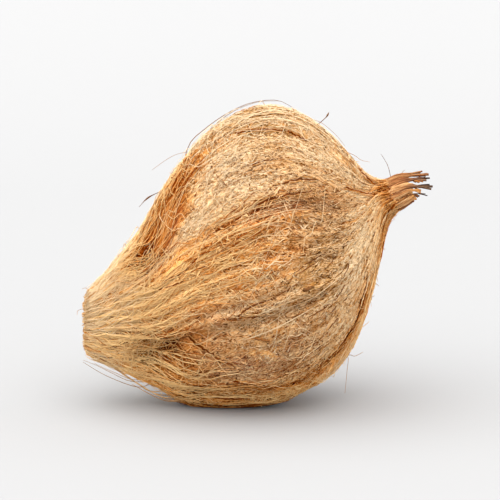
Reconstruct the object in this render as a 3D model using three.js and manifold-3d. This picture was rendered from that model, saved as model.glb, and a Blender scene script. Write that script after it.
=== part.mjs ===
// A semi-husked coconut, lying on its side: a round nut still wrapped in coir, with a thick
// fibre tuft at the eye end, sawn off square, and a frayed wisp of woody strips at the tip.
// Millimetres, +Z up, +X from the tuft to the tip. The origin is on the surface that the nut
// rests on, under the middle of the part.
import * as THREE from "three";
import { mergeVertices } from "three/addons/utils/BufferGeometryUtils.js";
import Module from "manifold-3d";

// ---- Driving dimensions ----

// The husk is lofted between an upper and a lower outline in the XZ plane.
// Each section: upper x, upper z, lower x, lower z, half depth in Y.
const SECTIONS = [
  [-79.0, 45.0, -79.5, 25.0, 10.5], // beyond the sawn end, trimmed off
  [-74.0, 49.0, -74.3, 23.4, 13.0],
  [-68.0, 55.0, -66.2, 19.8, 17.5],
  [-60.2, 64.9, -55.9, 14.6, 23.5],
  [-52.0, 75.2, -45.6, 7.6, 31.0],
  [-43.9, 89.0, -34.4, 1.4, 40.0],
  [-34.4, 104.1, -21.5, -0.9, 48.0],
  [-24.1, 115.7, -6.7, -1.6, 54.0],
  [-12.0, 124.7, 8.8, -0.6, 57.5],
  [1.7, 129.4, 22.5, 5.2, 58.0],
  [16.3, 126.6, 31.8, 13.3, 54.0],
  [28.4, 118.8, 41.3, 26.2, 45.0],
  [37.0, 110.9, 48.2, 44.3, 33.0],
  [43.0, 104.2, 52.5, 61.9, 21.0],
  [47.7, 100.3, 55.9, 77.4, 11.8],
  [52.5, 98.6, 59.3, 83.0, 8.3],
  [57.6, 98.4, 62.8, 86.9, 6.2],
  [63.2, 99.3, 67.1, 90.3, 4.8],
];
const SAWN_X = -74.2; // plane of the sawn tuft end
const MIDDLE = [0.03, -1.66]; // x and y of the finished part's middle in the sections' frame
const REST_CUT = 0; // height of the resting spot, where the underside is pressed flat
const RINGS = 40; // evenly spaced along the husk
const STRANDS = 36; // round the husk, packed closer together on the ridges

// Ridges of long fibre left by the husking run from tuft to tip. Angles are round the husk from
// its upper outline: 90 faces -Y, 180 is the lower outline. Half widths in degrees.
const RIDGES = [
  { angle: 3, half: 16 },
  { angle: 84, half: 19 },
  { angle: 176, half: 20 },
  { angle: 238, half: 15 },
  { angle: 300, half: 16 },
];
const CHEEK_DEPTH = 3.4; // how far the cheeks between the ridges lie below them
const CHEEK_FROM = 0.24; // along the husk, from 0 at the tuft to 1 at the tip
const CHEEK_TO = 0.85;

// Hollows where a cheek drops in under the fibres of the tuft.
const HOLLOWS = [
  { along: 0.27, angle: 42, long: 0.055, wide: 19, deep: 6.5 },
  { along: 0.25, angle: 124, long: 0.05, wide: 16, deep: 7.0 },
  { along: 0.27, angle: 208, long: 0.05, wide: 15, deep: 5.0 },
  { along: 0.28, angle: 268, long: 0.055, wide: 16, deep: 6.0 },
  { along: 0.27, angle: 330, long: 0.05, wide: 16, deep: 5.5 },
];

// Crevices where a ridge has lifted off the cheek beside it.
const CREVICES = [
  { angle: 22, from: 0.36, to: 0.74, wide: 3.5, deep: 2.0 },
  { angle: 63, from: 0.36, to: 0.8, wide: 4, deep: 2.6 },
  { angle: 107, from: 0.3, to: 0.6, wide: 3.5, deep: 1.8 },
  { angle: 156, from: 0.42, to: 0.84, wide: 4, deep: 2.4 },
  { angle: 219, from: 0.4, to: 0.8, wide: 4, deep: 2.2 },
  { angle: 281, from: 0.36, to: 0.78, wide: 4, deep: 2.4 },
  { angle: 319, from: 0.4, to: 0.76, wide: 3.5, deep: 2.0 },
];

// Each strand is a groove and two edges of unlike height, so that it catches the light.
const STRAND_PROFILE = [-1, 0.9, 0.45];
const RIDGE_RELIEF = 1.15; // height of the strands on a ridge
const CHEEK_RELIEF = 0.6; // and on a cheek

// Woody strips of the tip. Each starts in the neck's surface at an angle round it and ends at
// x, y and z, with a width, a thickness and a sideways bow.
const TIP_STRIPS = [
  { angle: 20, end: [72.8, -1.4, 100.8], wide: 3.0, thick: 1.5, bow: 0.9 },
  { angle: 75, end: [74.2, -3.0, 95.8], wide: 3.0, thick: 1.5, bow: 0.5 },
  { angle: 110, end: [73.2, -1.6, 93.6], wide: 2.0, thick: 1.2, bow: 0.3 },
  { angle: 340, end: [71.0, 2.6, 102.2], wide: 1.8, thick: 1.0, bow: 1.3 },
  { angle: 145, end: [68.6, -3.4, 91.0], wide: 2.6, thick: 1.3, bow: -0.3 },
  { angle: 185, end: [67.6, 0.4, 88.8], wide: 2.6, thick: 1.3, bow: -0.5 },
  { angle: 225, end: [69.4, 3.2, 90.6], wide: 2.2, thick: 1.2, bow: 0.2 },
  { angle: 265, end: [71.6, 4.4, 94.6], wide: 2.8, thick: 1.3, bow: 0.6 },
  { angle: 0, end: [68.8, 0.2, 96.2], wide: 3.4, thick: 2.2, bow: 0.2 },
];
const STRIP_ROOT = { along: 0.9, lift: -1.4 };

// Loose fibres that lie over the husk, in bundles along each ridge and strays across it.
const FIBRE_RADIUS = 0.6;
const FIBRE_STEPS = 7;
const RIDGE_FIBRES = 2;
const STRAY_FIBRES = 5;
const SEED = 7;

// ---- Small helpers ----

const TAU = Math.PI * 2;
const radians = (degrees) => (degrees * Math.PI) / 180;
const mix = (a, b, share) => a + (b - a) * share;
const smooth = (low, high, x) => THREE.MathUtils.smoothstep(x, low, high);

// A repeatable number from 0 to 1 for each pair of whole numbers.
function hash(a, b) {
  const s = Math.sin(a * 127.1 + b * 311.7 + SEED) * 43758.5453;
  return s - Math.floor(s);
}

// hash, smoothed along x for one strand.
function wander(strand, x) {
  const cell = Math.floor(x);
  return mix(hash(strand, cell), hash(strand, cell + 1), smooth(0, 1, x - cell));
}

// The shortest way round from angle b to angle a, in degrees.
function turn(a, b) {
  return ((((a - b + 180) % 360) + 360) % 360) - 180;
}

const bump = (distance, width) => Math.exp(-((distance / width) ** 2));

// ---- The husk's surface ----

// One column of SECTIONS at a place along the husk, on a curve through the table's values.
function outline(along, column) {
  const x = THREE.MathUtils.clamp(along, 0, 1) * (SECTIONS.length - 1);
  const i = Math.min(Math.floor(x), SECTIONS.length - 2);
  const at = (k) => SECTIONS[THREE.MathUtils.clamp(k, 0, SECTIONS.length - 1)][column];
  const s = x - i;
  const before = (at(i + 1) - at(i - 1)) / 2;
  const after = (at(i + 2) - at(i)) / 2;
  const s2 = s * s;
  const s3 = s2 * s;
  return (
    at(i) * (2 * s3 - 3 * s2 + 1) +
    before * (s3 - 2 * s2 + s) +
    at(i + 1) * (3 * s2 - 2 * s3) +
    after * (s3 - s2)
  );
}

// Centre, upward direction, half height and half depth of the section at a place along the husk.
function section(along) {
  const upper = new THREE.Vector3(outline(along, 0), 0, outline(along, 1));
  const lower = new THREE.Vector3(outline(along, 2), 0, outline(along, 3));
  return {
    centre: upper.clone().add(lower).multiplyScalar(0.5),
    up: upper.clone().sub(lower).normalize(),
    height: upper.distanceTo(lower) / 2,
    depth: outline(along, 4),
  };
}

// How much of a ridge there is at an angle: 1 on its crest, 0 on a cheek.
function ridgeShare(angle) {
  const shares = RIDGES.map((ridge) => {
    const away = Math.abs(turn(angle, ridge.angle)) / ridge.half;
    return 1 - smooth(0.75, 1.35, away);
  });
  return Math.max(...shares);
}

// 1 between two places along the husk, fading to 0 on both sides.
function between(from, to, along) {
  return smooth(from - 0.06, from + 0.06, along) * (1 - smooth(to - 0.06, to + 0.06, along));
}

// How far the husk stands in from its outlines, in mm: cheeks, crevices and hollows.
function sunk(along, angle) {
  const cheek = CHEEK_DEPTH * (1 - ridgeShare(angle)) * between(CHEEK_FROM, CHEEK_TO, along);
  const crevices = CREVICES.map(
    (c) => c.deep * bump(turn(angle, c.angle), c.wide) * between(c.from, c.to, along),
  );
  const hollows = HOLLOWS.map(
    (h) => h.deep * bump(along - h.along, h.long) * bump(turn(angle, h.angle), h.wide),
  );
  return [...crevices, ...hollows].reduce((sum, depth) => sum + depth, cheek);
}

// A point off the husk's surface by lift mm, without the strands' own relief.
function surfacePoint(along, angle, lift) {
  const { centre, up, height, depth } = section(along);
  const a = radians(angle);
  const out = lift - sunk(along, angle);
  return centre
    .addScaledVector(up, Math.cos(a) * (height + out))
    .add(new THREE.Vector3(0, -Math.sin(a) * (depth + out), 0));
}

// The relief of one column of the mesh: three columns make a strand, which swells and fades.
function strandLift(column, along, angle) {
  const { height } = section(along);
  const tall = mix(CHEEK_RELIEF, RIDGE_RELIEF, ridgeShare(angle)) * smooth(0, 30, height);
  const strand = Math.floor(column / 3);
  return tall * STRAND_PROFILE[column % 3] * mix(0.35, 1.25, wander(strand, along * 8));
}

// Places from 0 to 1 that each have the same share of a running total of size(place).
function spread(count, size) {
  const fine = 600;
  const total = [0];
  for (let i = 1; i <= fine; i++) {
    total.push(total[i - 1] + size((i - 0.5) / fine));
  }
  return Array.from({ length: count }, (_, k) => {
    const wanted = (k / count) * total[fine];
    const i = total.findIndex((t) => t > wanted);
    return (i - 1 + (wanted - total[i - 1]) / (total[i] - total[i - 1])) / fine;
  });
}

function ringPlaces() {
  const step = 0.001;
  const speed = (along) =>
    section(along + step).centre.distanceTo(section(along - step).centre);
  return [...spread(RINGS, speed), 1];
}

function columnAngles() {
  return spread(STRANDS * 3, (turnShare) => 1 + 0.9 * ridgeShare(turnShare * 360)).map(
    (turnShare) => turnShare * 360,
  );
}

function huskGeometry() {
  const places = ringPlaces();
  const angles = columnAngles();
  const columns = angles.length;
  const positions = [];
  const faces = [];
  for (const along of places) {
    angles.forEach((middle, column) => {
      const sway = 2 * (wander(Math.floor(column / 3), along * 7 + 50) - 0.5);
      const angle = middle + sway;
      positions.push(...surfacePoint(along, angle, strandLift(column, along, angle)));
    });
  }
  for (let ring = 0; ring + 1 < places.length; ring++) {
    for (let column = 0; column < columns; column++) {
      const a = ring * columns + column;
      const b = ring * columns + ((column + 1) % columns);
      faces.push(a, b, a + columns, b, b + columns, a + columns);
    }
  }
  // Close both ends on their middle points.
  const last = (places.length - 1) * columns;
  const tuftEnd = positions.length / 3;
  positions.push(...section(0).centre, ...section(1).centre);
  for (let column = 0; column < columns; column++) {
    const next = (column + 1) % columns;
    faces.push(tuftEnd, next, column, tuftEnd + 1, last + column, last + next);
  }
  return indexed(positions, faces);
}

// ---- Loose fibres and tip strips ----

function indexed(positions, faces) {
  const geometry = new THREE.BufferGeometry();
  geometry.setAttribute("position", new THREE.Float32BufferAttribute(positions, 3));
  geometry.setIndex(faces);
  return geometry;
}

// A closed bar through points, with an outline of corners given as [across, outward] pairs.
function bar(points, outward, corners, taper) {
  const positions = [];
  const faces = [];
  const n = corners.length;
  points.forEach((point, i) => {
    const from = points[Math.max(i - 1, 0)];
    const to = points[Math.min(i + 1, points.length - 1)];
    const along = to.clone().sub(from).normalize();
    const across = new THREE.Vector3().crossVectors(along, outward[i]).normalize();
    const out = new THREE.Vector3().crossVectors(across, along);
    for (const [x, y] of corners) {
      const corner = point
        .clone()
        .addScaledVector(across, x * taper(i / (points.length - 1)))
        .addScaledVector(out, y * taper(i / (points.length - 1)));
      positions.push(...corner);
    }
  });
  for (let i = 0; i + 1 < points.length; i++) {
    for (let k = 0; k < n; k++) {
      const a = i * n + k;
      const b = i * n + ((k + 1) % n);
      faces.push(a, a + n, b, b, a + n, b + n);
    }
  }
  const end = (points.length - 1) * n;
  for (let k = 1; k + 1 < n; k++) {
    faces.push(0, k, k + 1, end, end + k + 1, end + k);
  }
  return indexed(positions, faces);
}

const FIBRE_SECTION = [90, 210, 330].map((degrees) => [
  Math.cos(radians(degrees)) * FIBRE_RADIUS,
  Math.sin(radians(degrees)) * FIBRE_RADIUS,
]);

// A fibre that comes out of the husk, arches over it and goes back in.
function fibre({ from, to, angle, drift, arch }) {
  const points = [];
  const outward = [];
  for (let i = 0; i <= FIBRE_STEPS; i++) {
    const share = i / FIBRE_STEPS;
    const along = mix(from, to, share);
    const at = angle + drift * share + 2 * Math.sin(share * TAU);
    const lift = -1.8 + arch * Math.sin(share * Math.PI) ** 0.4;
    points.push(surfacePoint(along, at, lift));
    outward.push(surfacePoint(along, at, 5).sub(surfacePoint(along, at, -5)).normalize());
  }
  return bar(points, outward, FIBRE_SECTION, () => 1);
}

function looseFibres() {
  const made = [];
  RIDGES.forEach((ridge, r) => {
    for (let i = 0; i < RIDGE_FIBRES; i++) {
      const from = mix(0.1, 0.5, hash(r * 31 + i, 1));
      made.push(
        fibre({
          from,
          to: Math.min(0.92, from + mix(0.22, 0.38, hash(r * 31 + i, 2))),
          angle: ridge.angle + mix(-1, 1, (i + 0.5) / RIDGE_FIBRES) * ridge.half,
          drift: mix(-7, 7, hash(r * 31 + i, 3)),
          arch: mix(3.4, 3.9, hash(r * 31 + i, 4)),
        }),
      );
    }
  });
  for (let i = 0; i < STRAY_FIBRES; i++) {
    const from = mix(0.14, 0.66, hash(i, 11));
    made.push(
      fibre({
        from,
        to: from + mix(0.16, 0.26, hash(i, 12)),
        angle: ((i + hash(i, 13)) * 360) / STRAY_FIBRES,
        drift: mix(-14, 14, hash(i, 14)),
        arch: mix(3.6, 4.2, hash(i, 15)),
      }),
    );
  }
  return made;
}

function tipStrip({ angle, end, wide, thick, bow }) {
  const steps = 3;
  const root = surfacePoint(STRIP_ROOT.along, angle, STRIP_ROOT.lift);
  const leave = surfacePoint(1, angle, STRIP_ROOT.lift);
  const tip = new THREE.Vector3(...end);
  const curve = new THREE.QuadraticBezierCurve3(root, leave, tip);
  const points = curve.getPoints(steps);
  points.forEach((point, i) => {
    point.z += bow * Math.sin((i / steps) * Math.PI);
  });
  const outward = points.map(() => surfacePoint(1, angle, 5).sub(section(1).centre).normalize());
  const w = wide / 2;
  const t = thick / 2;
  const corners = [
    [w, -t],
    [w, t],
    [-w, t],
    [-w, -t],
  ];
  return bar(points, outward, corners, (share) => mix(1, 0.8, share));
}

// ---- Joining and cutting ----

const wasm = await Module();
wasm.setup();

function solid(geometry) {
  const bare = geometry.clone();
  bare.deleteAttribute("normal");
  bare.deleteAttribute("uv");
  const merged = mergeVertices(bare, 1e-4);
  return new wasm.Manifold(
    new wasm.Mesh({
      numProp: 3,
      vertProperties: merged.getAttribute("position").array,
      triVerts: new Uint32Array(merged.index.array),
    }),
  );
}

function geometryOf(made) {
  const mesh = made.getMesh();
  const geometry = new THREE.BufferGeometry();
  geometry.setAttribute("position", new THREE.BufferAttribute(mesh.vertProperties, 3));
  geometry.setIndex(new THREE.BufferAttribute(mesh.triVerts, 1));
  return geometry;
}

// A large box that reaches from a plane at the given place away to one side.
function beyond(axis, place, side) {
  const size = 400;
  const box = new THREE.BoxGeometry(size, size, size);
  const shift = [0, 0, 0];
  shift[axis] = place + (side * size) / 2;
  return solid(box.translate(...shift));
}

function coconutSolid() {
  const pieces = [...looseFibres(), ...TIP_STRIPS.map(tipStrip)].map(solid);
  const joined = pieces.reduce((sum, piece) => sum.add(piece), solid(huskGeometry()));
  return joined.subtract(beyond(0, SAWN_X, -1)).subtract(beyond(2, REST_CUT, -1));
}

// ---- The part ----

const coir = new THREE.MeshStandardMaterial({ color: 0xcfa06a, roughness: 0.92, metalness: 0 });

const coconut = new THREE.Mesh(geometryOf(coconutSolid()), coir);
coconut.geometry.translate(-MIDDLE[0], -MIDDLE[1], 0);
coconut.geometry.computeVertexNormals();
coconut.name = "coconut";

const part = new THREE.Group();
part.add(coconut);

export default part;
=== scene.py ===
import math

import bpy
import numpy as np
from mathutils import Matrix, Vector
from mathutils.bvhtree import BVHTree


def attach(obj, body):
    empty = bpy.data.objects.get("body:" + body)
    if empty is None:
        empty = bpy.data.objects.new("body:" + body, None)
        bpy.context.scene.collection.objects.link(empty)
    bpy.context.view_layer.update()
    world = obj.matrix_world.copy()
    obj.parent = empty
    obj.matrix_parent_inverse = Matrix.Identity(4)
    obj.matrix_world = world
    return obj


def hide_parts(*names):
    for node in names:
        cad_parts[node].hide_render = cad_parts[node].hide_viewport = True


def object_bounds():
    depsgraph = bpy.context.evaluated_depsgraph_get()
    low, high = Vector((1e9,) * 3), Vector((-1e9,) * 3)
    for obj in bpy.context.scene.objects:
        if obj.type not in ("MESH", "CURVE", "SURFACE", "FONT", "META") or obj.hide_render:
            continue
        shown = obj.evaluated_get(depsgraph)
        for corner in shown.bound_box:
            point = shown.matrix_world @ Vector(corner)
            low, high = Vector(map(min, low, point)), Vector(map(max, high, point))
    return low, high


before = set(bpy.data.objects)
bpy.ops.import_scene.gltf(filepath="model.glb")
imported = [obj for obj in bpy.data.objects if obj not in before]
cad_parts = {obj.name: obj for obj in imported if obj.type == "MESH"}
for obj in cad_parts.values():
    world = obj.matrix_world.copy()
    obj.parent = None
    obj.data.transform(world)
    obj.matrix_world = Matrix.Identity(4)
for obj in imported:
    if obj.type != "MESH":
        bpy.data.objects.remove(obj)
cad_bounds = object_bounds()

# ---- Form of the husk, with the solid's own dimensions ----

# Upper x, upper z, lower x, lower z, half depth.
SECTIONS = np.array(
    [
        [-79.0, 45.0, -79.5, 25.0, 10.5],
        [-74.0, 49.0, -74.3, 23.4, 13.0],
        [-68.0, 55.0, -66.2, 19.8, 17.5],
        [-60.2, 64.9, -55.9, 14.6, 23.5],
        [-52.0, 75.2, -45.6, 7.6, 31.0],
        [-43.9, 89.0, -34.4, 1.4, 40.0],
        [-34.4, 104.1, -21.5, -0.9, 48.0],
        [-24.1, 115.7, -6.7, -1.6, 54.0],
        [-12.0, 124.7, 8.8, -0.6, 57.5],
        [1.7, 129.4, 22.5, 5.2, 58.0],
        [16.3, 126.6, 31.8, 13.3, 54.0],
        [28.4, 118.8, 41.3, 26.2, 45.0],
        [37.0, 110.9, 48.2, 44.3, 33.0],
        [43.0, 104.2, 52.5, 61.9, 21.0],
        [47.7, 100.3, 55.9, 77.4, 11.8],
        [52.5, 98.6, 59.3, 83.0, 8.3],
        [57.6, 98.4, 62.8, 86.9, 6.2],
        [63.2, 99.3, 67.1, 90.3, 4.8],
    ]
)
SAWN_X = -74.2  # plane of the sawn tuft end
MIDDLE = (0.03, -1.66)  # x and y of the solid's middle in the sections' own frame
STRANDS = 36
COLUMNS = STRANDS * 3
MM = 1000  # to a metre

# Angle and half width, in degrees round the husk from its upper outline; 90 faces -Y.
RIDGES = [(3, 16), (84, 19), (176, 20), (238, 15), (300, 16)]
# Long strands on each ridge: angle and half width of the band, and how far along the husk it runs.
STRAND_BANDS = [(5, 16, 0.74), (76, 15, 0.56), (172, 22, 0.84), (238, 15, 0.62), (300, 16, 0.66)]
CHEEK_DEPTH = 3.4
CHEEK_FROM = 0.24
CHEEK_TO = 0.85

# Angle, from, to, half width, depth.
CREVICES = [
    (22, 0.36, 0.74, 3.5, 2.0),
    (63, 0.36, 0.8, 4.0, 2.6),
    (107, 0.3, 0.6, 3.5, 1.8),
    (156, 0.42, 0.84, 4.0, 2.4),
    (219, 0.4, 0.8, 4.0, 2.2),
    (281, 0.36, 0.78, 4.0, 2.4),
    (319, 0.4, 0.76, 3.5, 2.0),
]
# Place along, angle, length, width, depth.
HOLLOWS = [
    (0.27, 42, 0.055, 19, 6.5),
    (0.25, 124, 0.05, 16, 7.0),
    (0.27, 208, 0.05, 15, 5.0),
    (0.28, 268, 0.055, 16, 6.0),
    (0.27, 330, 0.05, 16, 5.5),
]
EDGE_FADE = 0.06  # how softly a crevice or a cheek ends, along the husk
STRAND_PROFILE = np.array([-1, 0.9, 0.45])
STRAND_SWELL = (0.35, 1.25)
SWELL_PACE = 8  # changes of a strand's height along the husk
RIDGE_RELIEF = 1.15
CHEEK_RELIEF = 0.6
RELIEF_HEIGHT = 30  # half height of the husk, in mm, from which it has its full relief
RIDGE_PACKING = 0.9  # how much closer together strands lie on a ridge
SEED = 7

rng = np.random.default_rng(SEED)


def smooth(low, high, x):
    t = np.clip((x - low) / (high - low), 0, 1)
    return t * t * (3 - 2 * t)


def mix(a, b, share):
    return a + (b - a) * share


def chance(a, b):
    """A repeatable number from 0 to 1 for each pair of whole numbers."""
    s = np.sin(a * 127.1 + b * 311.7 + SEED) * 43758.5453
    return s - np.floor(s)


def wander(strand, x):
    cell = np.floor(x)
    return mix(chance(strand, cell), chance(strand, cell + 1), smooth(0, 1, x - cell))


def turn(a, b):
    return (a - b + 180) % 360 - 180


def hump(distance, width):
    return np.exp(-((distance / width) ** 2))


def spotted(total, along, angle, rows, column=4):
    """total plus each row's value around its place. A row starts with place, angle, length, width."""
    for row in rows:
        place, crest, long, wide = row[:4]
        total = total + row[column] * hump(along - place, long) * hump(turn(angle, crest), wide)
    return total


def outline(along):
    """SECTIONS at places along the husk, on a smooth curve through its rows."""
    last = len(SECTIONS) - 1
    x = np.clip(along, 0, 1) * last
    i = np.minimum(x.astype(int), last - 1)
    s = (x - i)[..., None]
    rows = [SECTIONS[np.clip(i + k, 0, last)] for k in (-1, 0, 1, 2)]
    before = (rows[2] - rows[0]) / 2
    after = (rows[3] - rows[1]) / 2
    return (
        rows[1] * (2 * s**3 - 3 * s**2 + 1)
        + before * (s**3 - 2 * s**2 + s)
        + rows[2] * (3 * s**2 - 2 * s**3)
        + after * (s**3 - s**2)
    )


def half_height(along):
    rows = outline(along)
    return np.hypot(rows[..., 0] - rows[..., 2], rows[..., 1] - rows[..., 3]) / 2


def ridge_share(angle):
    """1 on the crest of a ridge, 0 on a cheek."""
    away = [np.abs(turn(angle, crest)) / half for crest, half in RIDGES]
    return 1 - smooth(0.75, 1.35, np.min(away, axis=0))


def between(low, high, along):
    start = smooth(low - EDGE_FADE, low + EDGE_FADE, along)
    return start * (1 - smooth(high - EDGE_FADE, high + EDGE_FADE, along))


def gaps(along, angle):
    """Depth of crevices and hollows, in mm."""
    depth = np.zeros(np.broadcast(along, angle).shape)
    for crest, low, high, wide, deep in CREVICES:
        depth = depth + deep * hump(turn(angle, crest), wide) * between(low, high, along)
    return spotted(depth, along, angle, HOLLOWS)


def cheek_share(along, angle):
    return (1 - ridge_share(angle)) * between(CHEEK_FROM, CHEEK_TO, along)


def strand_share(along, angle):
    """1 where long strands cover the husk, on the tuft and the ridges, and 0 on felt."""
    bands = [
        (1 - smooth(0.8, 1.4, np.abs(turn(angle, crest)) / half))
        * (1 - smooth(reach - 0.1, reach + 0.06, along))
        for crest, half, reach in STRAND_BANDS
    ]
    tuft = 1 - smooth(0.22, 0.35, along)
    return np.maximum(np.max(bands, axis=0), tuft)


def surface(along, angle, lift):
    """Points lift mm off the husk's plain form, with its cheeks and gaps."""
    upper_x, upper_z, lower_x, lower_z, depth = np.moveaxis(outline(along), -1, 0)
    height = np.hypot(upper_x - lower_x, upper_z - lower_z) / 2
    out = lift - CHEEK_DEPTH * cheek_share(along, angle) - gaps(along, angle)
    a = np.radians(angle)
    reach = np.cos(a) * (1 + out / height) / 2
    x = (upper_x + lower_x) / 2 + reach * (upper_x - lower_x)
    z = (upper_z + lower_z) / 2 + reach * (upper_z - lower_z)
    y = -np.sin(a) * (depth + out)
    return np.stack([x - MIDDLE[0], y - MIDDLE[1], z], -1)


def column_angles():
    """Angles of the solid's own columns, closer together on the ridges."""
    samples, step = 600, 0.6
    crowding = 1 + RIDGE_PACKING * ridge_share((np.arange(samples) + 0.5) * step)
    total = np.concatenate([[0], np.cumsum(crowding)])
    wanted = np.arange(COLUMNS + 1) / COLUMNS * total[-1]
    return np.interp(wanted, total, np.arange(samples + 1) * step)


COLUMN_ANGLES = column_angles()


def strand_lift(along, angle):
    """The solid's own strand relief, in mm."""
    place = np.interp(angle % 360, COLUMN_ANGLES, np.arange(len(COLUMN_ANGLES)))
    column = np.floor(place)
    lifts = []
    for k in (column, column + 1):
        k = k % COLUMNS
        swell = mix(*STRAND_SWELL, wander(np.floor(k / 3), along * SWELL_PACE))
        lifts.append(STRAND_PROFILE[(k % 3).astype(int)] * swell)
    tall = mix(CHEEK_RELIEF, RIDGE_RELIEF, ridge_share(angle)) * smooth(0, RELIEF_HEIGHT, half_height(along))
    return tall * mix(*lifts, smooth(0, 1, place - column))


def streaks(along, angle, count, pace, seed):
    """Noise from 0 to 1 in count streaks round the husk, changing pace times along it."""
    place = angle % 360 / 360 * count
    column = np.floor(place)
    a = wander(column % count + seed, along * pace)
    b = wander((column + 1) % count + seed, along * pace)
    return mix(a, b, smooth(0, 1, place - column))


# Relief too fine for the solid. Height in mm, streaks round the husk, changes along it, seed.
FINE_STRANDS = [(0.9, 96, 14, 100), (0.6, 190, 22, 400)]
FINE_FELT = [(0.5, 60, 14, 800), (0.55, 190, 60, 1200)]
FINE_SUNK = 1.1  # how far the fine relief is let into the husk


def fine_lift(along, angle):
    """Relief in mm: strands on the ridges and the tuft, felt on the cheeks."""
    felt, strands = (
        sum(tall * streaks(along, angle, *pattern) for tall, *pattern in layers)
        for layers in (FINE_FELT, FINE_STRANDS)
    )
    relief = mix(felt, strands, strand_share(along, angle)) - FINE_SUNK
    return relief * smooth(0, RELIEF_HEIGHT, half_height(along))


# Where the husk lies deeper, to leave room for its fibres: place along, angle, length, width, mm.
SETTLED = [
    (0.36, 0, 0.14, 35, 0.8),
    (0.53, 0, 0.04, 35, 0.9),
    (0.6, 165, 0.1, 30, 1.6),
    (0.2, 15, 0.07, 30, 1.4),
    (0.13, 12, 0.05, 30, 1.0),
    (0.76, 165, 0.08, 30, 1.4),
    (0.252, 30, 0.022, 7, 2.6),
    (0.288, 25, 0.026, 7, 1.5),
    (0.32, 36, 0.035, 12, 1.0),
    (0.3, 114, 0.025, 8, 3.5),
]
# The split under the rim that faces the tip: place along and angle of points on it.
RIM_SPLIT = np.array([
    (0.42, 142), (0.48, 152), (0.53, 157), (0.6, 155), (0.65, 151), (0.69, 149), (0.72, 142), (0.75, 133),
    (0.85, 132),
])
RIM_SPLIT_HALF = 3.2  # half width in degrees
RIM_SPLIT_DEPTH = 1.6
FIBRE_ROOM = 0.8  # how far the whole husk is let in, in mm, to leave room for its fibres
# The dressed husk touches the floor over an oval spot, and rounds up outside it.
FOOT_MIDDLE_X = -13.0
FOOT_HALF_LENGTH = 12.5
FOOT_HALF_DEPTH = 5.0
FOOT_RIM_LIFT = 3.8
FOOT_ROUNDING = (1, 3)  # from the oval's edge to where the lift is full, in sizes of the oval
FOOT_FADE = (2, 18)  # heights between which the lift dies away


def rim_split(along, angle):
    """1 in the middle of the split under the rim."""
    middle = np.interp(along, *RIM_SPLIT.T)
    return hump(turn(angle, middle), RIM_SPLIT_HALF) * between(RIM_SPLIT[0, 0], RIM_SPLIT[-1, 0], along)


def husk(along, angle, lift):
    """Points lift mm off the dressed husk, which rounds up from the floor outside its foot."""
    room = FIBRE_ROOM * smooth(0, 0.2, along) * (1 - smooth(0.85, 1.0, along))
    room = spotted(room, along, angle, SETTLED) + RIM_SPLIT_DEPTH * rim_split(along, angle)
    points = surface(along, angle, lift + strand_lift(along, angle) - room)
    from_foot = points[..., 0] - FOOT_MIDDLE_X
    outside = smooth(*FOOT_ROUNDING, np.hypot(from_foot / FOOT_HALF_LENGTH, points[..., 1] / FOOT_HALF_DEPTH))
    low = 1 - smooth(*FOOT_FADE, points[..., 2])
    points[..., 2] = np.maximum(points[..., 2], 0) + FOOT_RIM_LIFT * outside * low
    return points


# Arc length of the husk's middle line, to turn millimetres into places along it.
PLACES = np.linspace(0, 1, 400)
middle_rows = outline(PLACES)
middle_line = (middle_rows[:, :2] + middle_rows[:, 2:4]) / 2
ARC = np.concatenate([[0], np.cumsum(np.hypot(*np.diff(middle_line, axis=0).T))])
SAWN_ARC = np.interp(SAWN_X, middle_line[:, 0], ARC)


def place_at(arc):
    return np.interp(arc, ARC, PLACES)


# ---- Meshes from arrays ----


def new_piece(name, points, quads, triangles, uvs, values, material):
    """A mesh object. uvs has one row per face corner, values are numbers for each point."""
    mesh = bpy.data.meshes.new(name)
    mesh.vertices.add(len(points))
    mesh.vertices.foreach_set("co", (points / MM).astype(np.float32).ravel())
    corners = np.concatenate([quads.ravel(), triangles.ravel()]).astype(np.int32)
    starts = np.concatenate(
        [np.arange(len(quads)) * 4, len(quads) * 4 + np.arange(len(triangles)) * 3]
    )
    mesh.loops.add(len(corners))
    mesh.loops.foreach_set("vertex_index", corners)
    mesh.polygons.add(len(starts))
    mesh.polygons.foreach_set("loop_start", starts.astype(np.int32))
    mesh.polygons.foreach_set("use_smooth", np.ones(len(starts), bool))
    mesh.update(calc_edges=True)
    layer = mesh.uv_layers.new(name="OFBake")
    layer.uv.foreach_set("vector", uvs.astype(np.float32).ravel())
    for key, value in values.items():
        kind = "FLOAT_VECTOR" if value.ndim == 2 else "FLOAT"
        attribute = mesh.attributes.new(key, kind, "POINT")
        field = "vector" if value.ndim == 2 else "value"
        attribute.data.foreach_set(field, value.astype(np.float32).ravel())
    mesh.materials.append(material)
    piece = bpy.data.objects.new(name, mesh)
    bpy.context.scene.collection.objects.link(piece)
    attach(piece, "root")
    return piece


def unit(v):
    return v / np.maximum(np.linalg.norm(v, axis=-1, keepdims=True), 1e-9)


CELL_MARGIN = 0.06  # round each fibre's place in the texture, as a share of its cell


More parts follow.
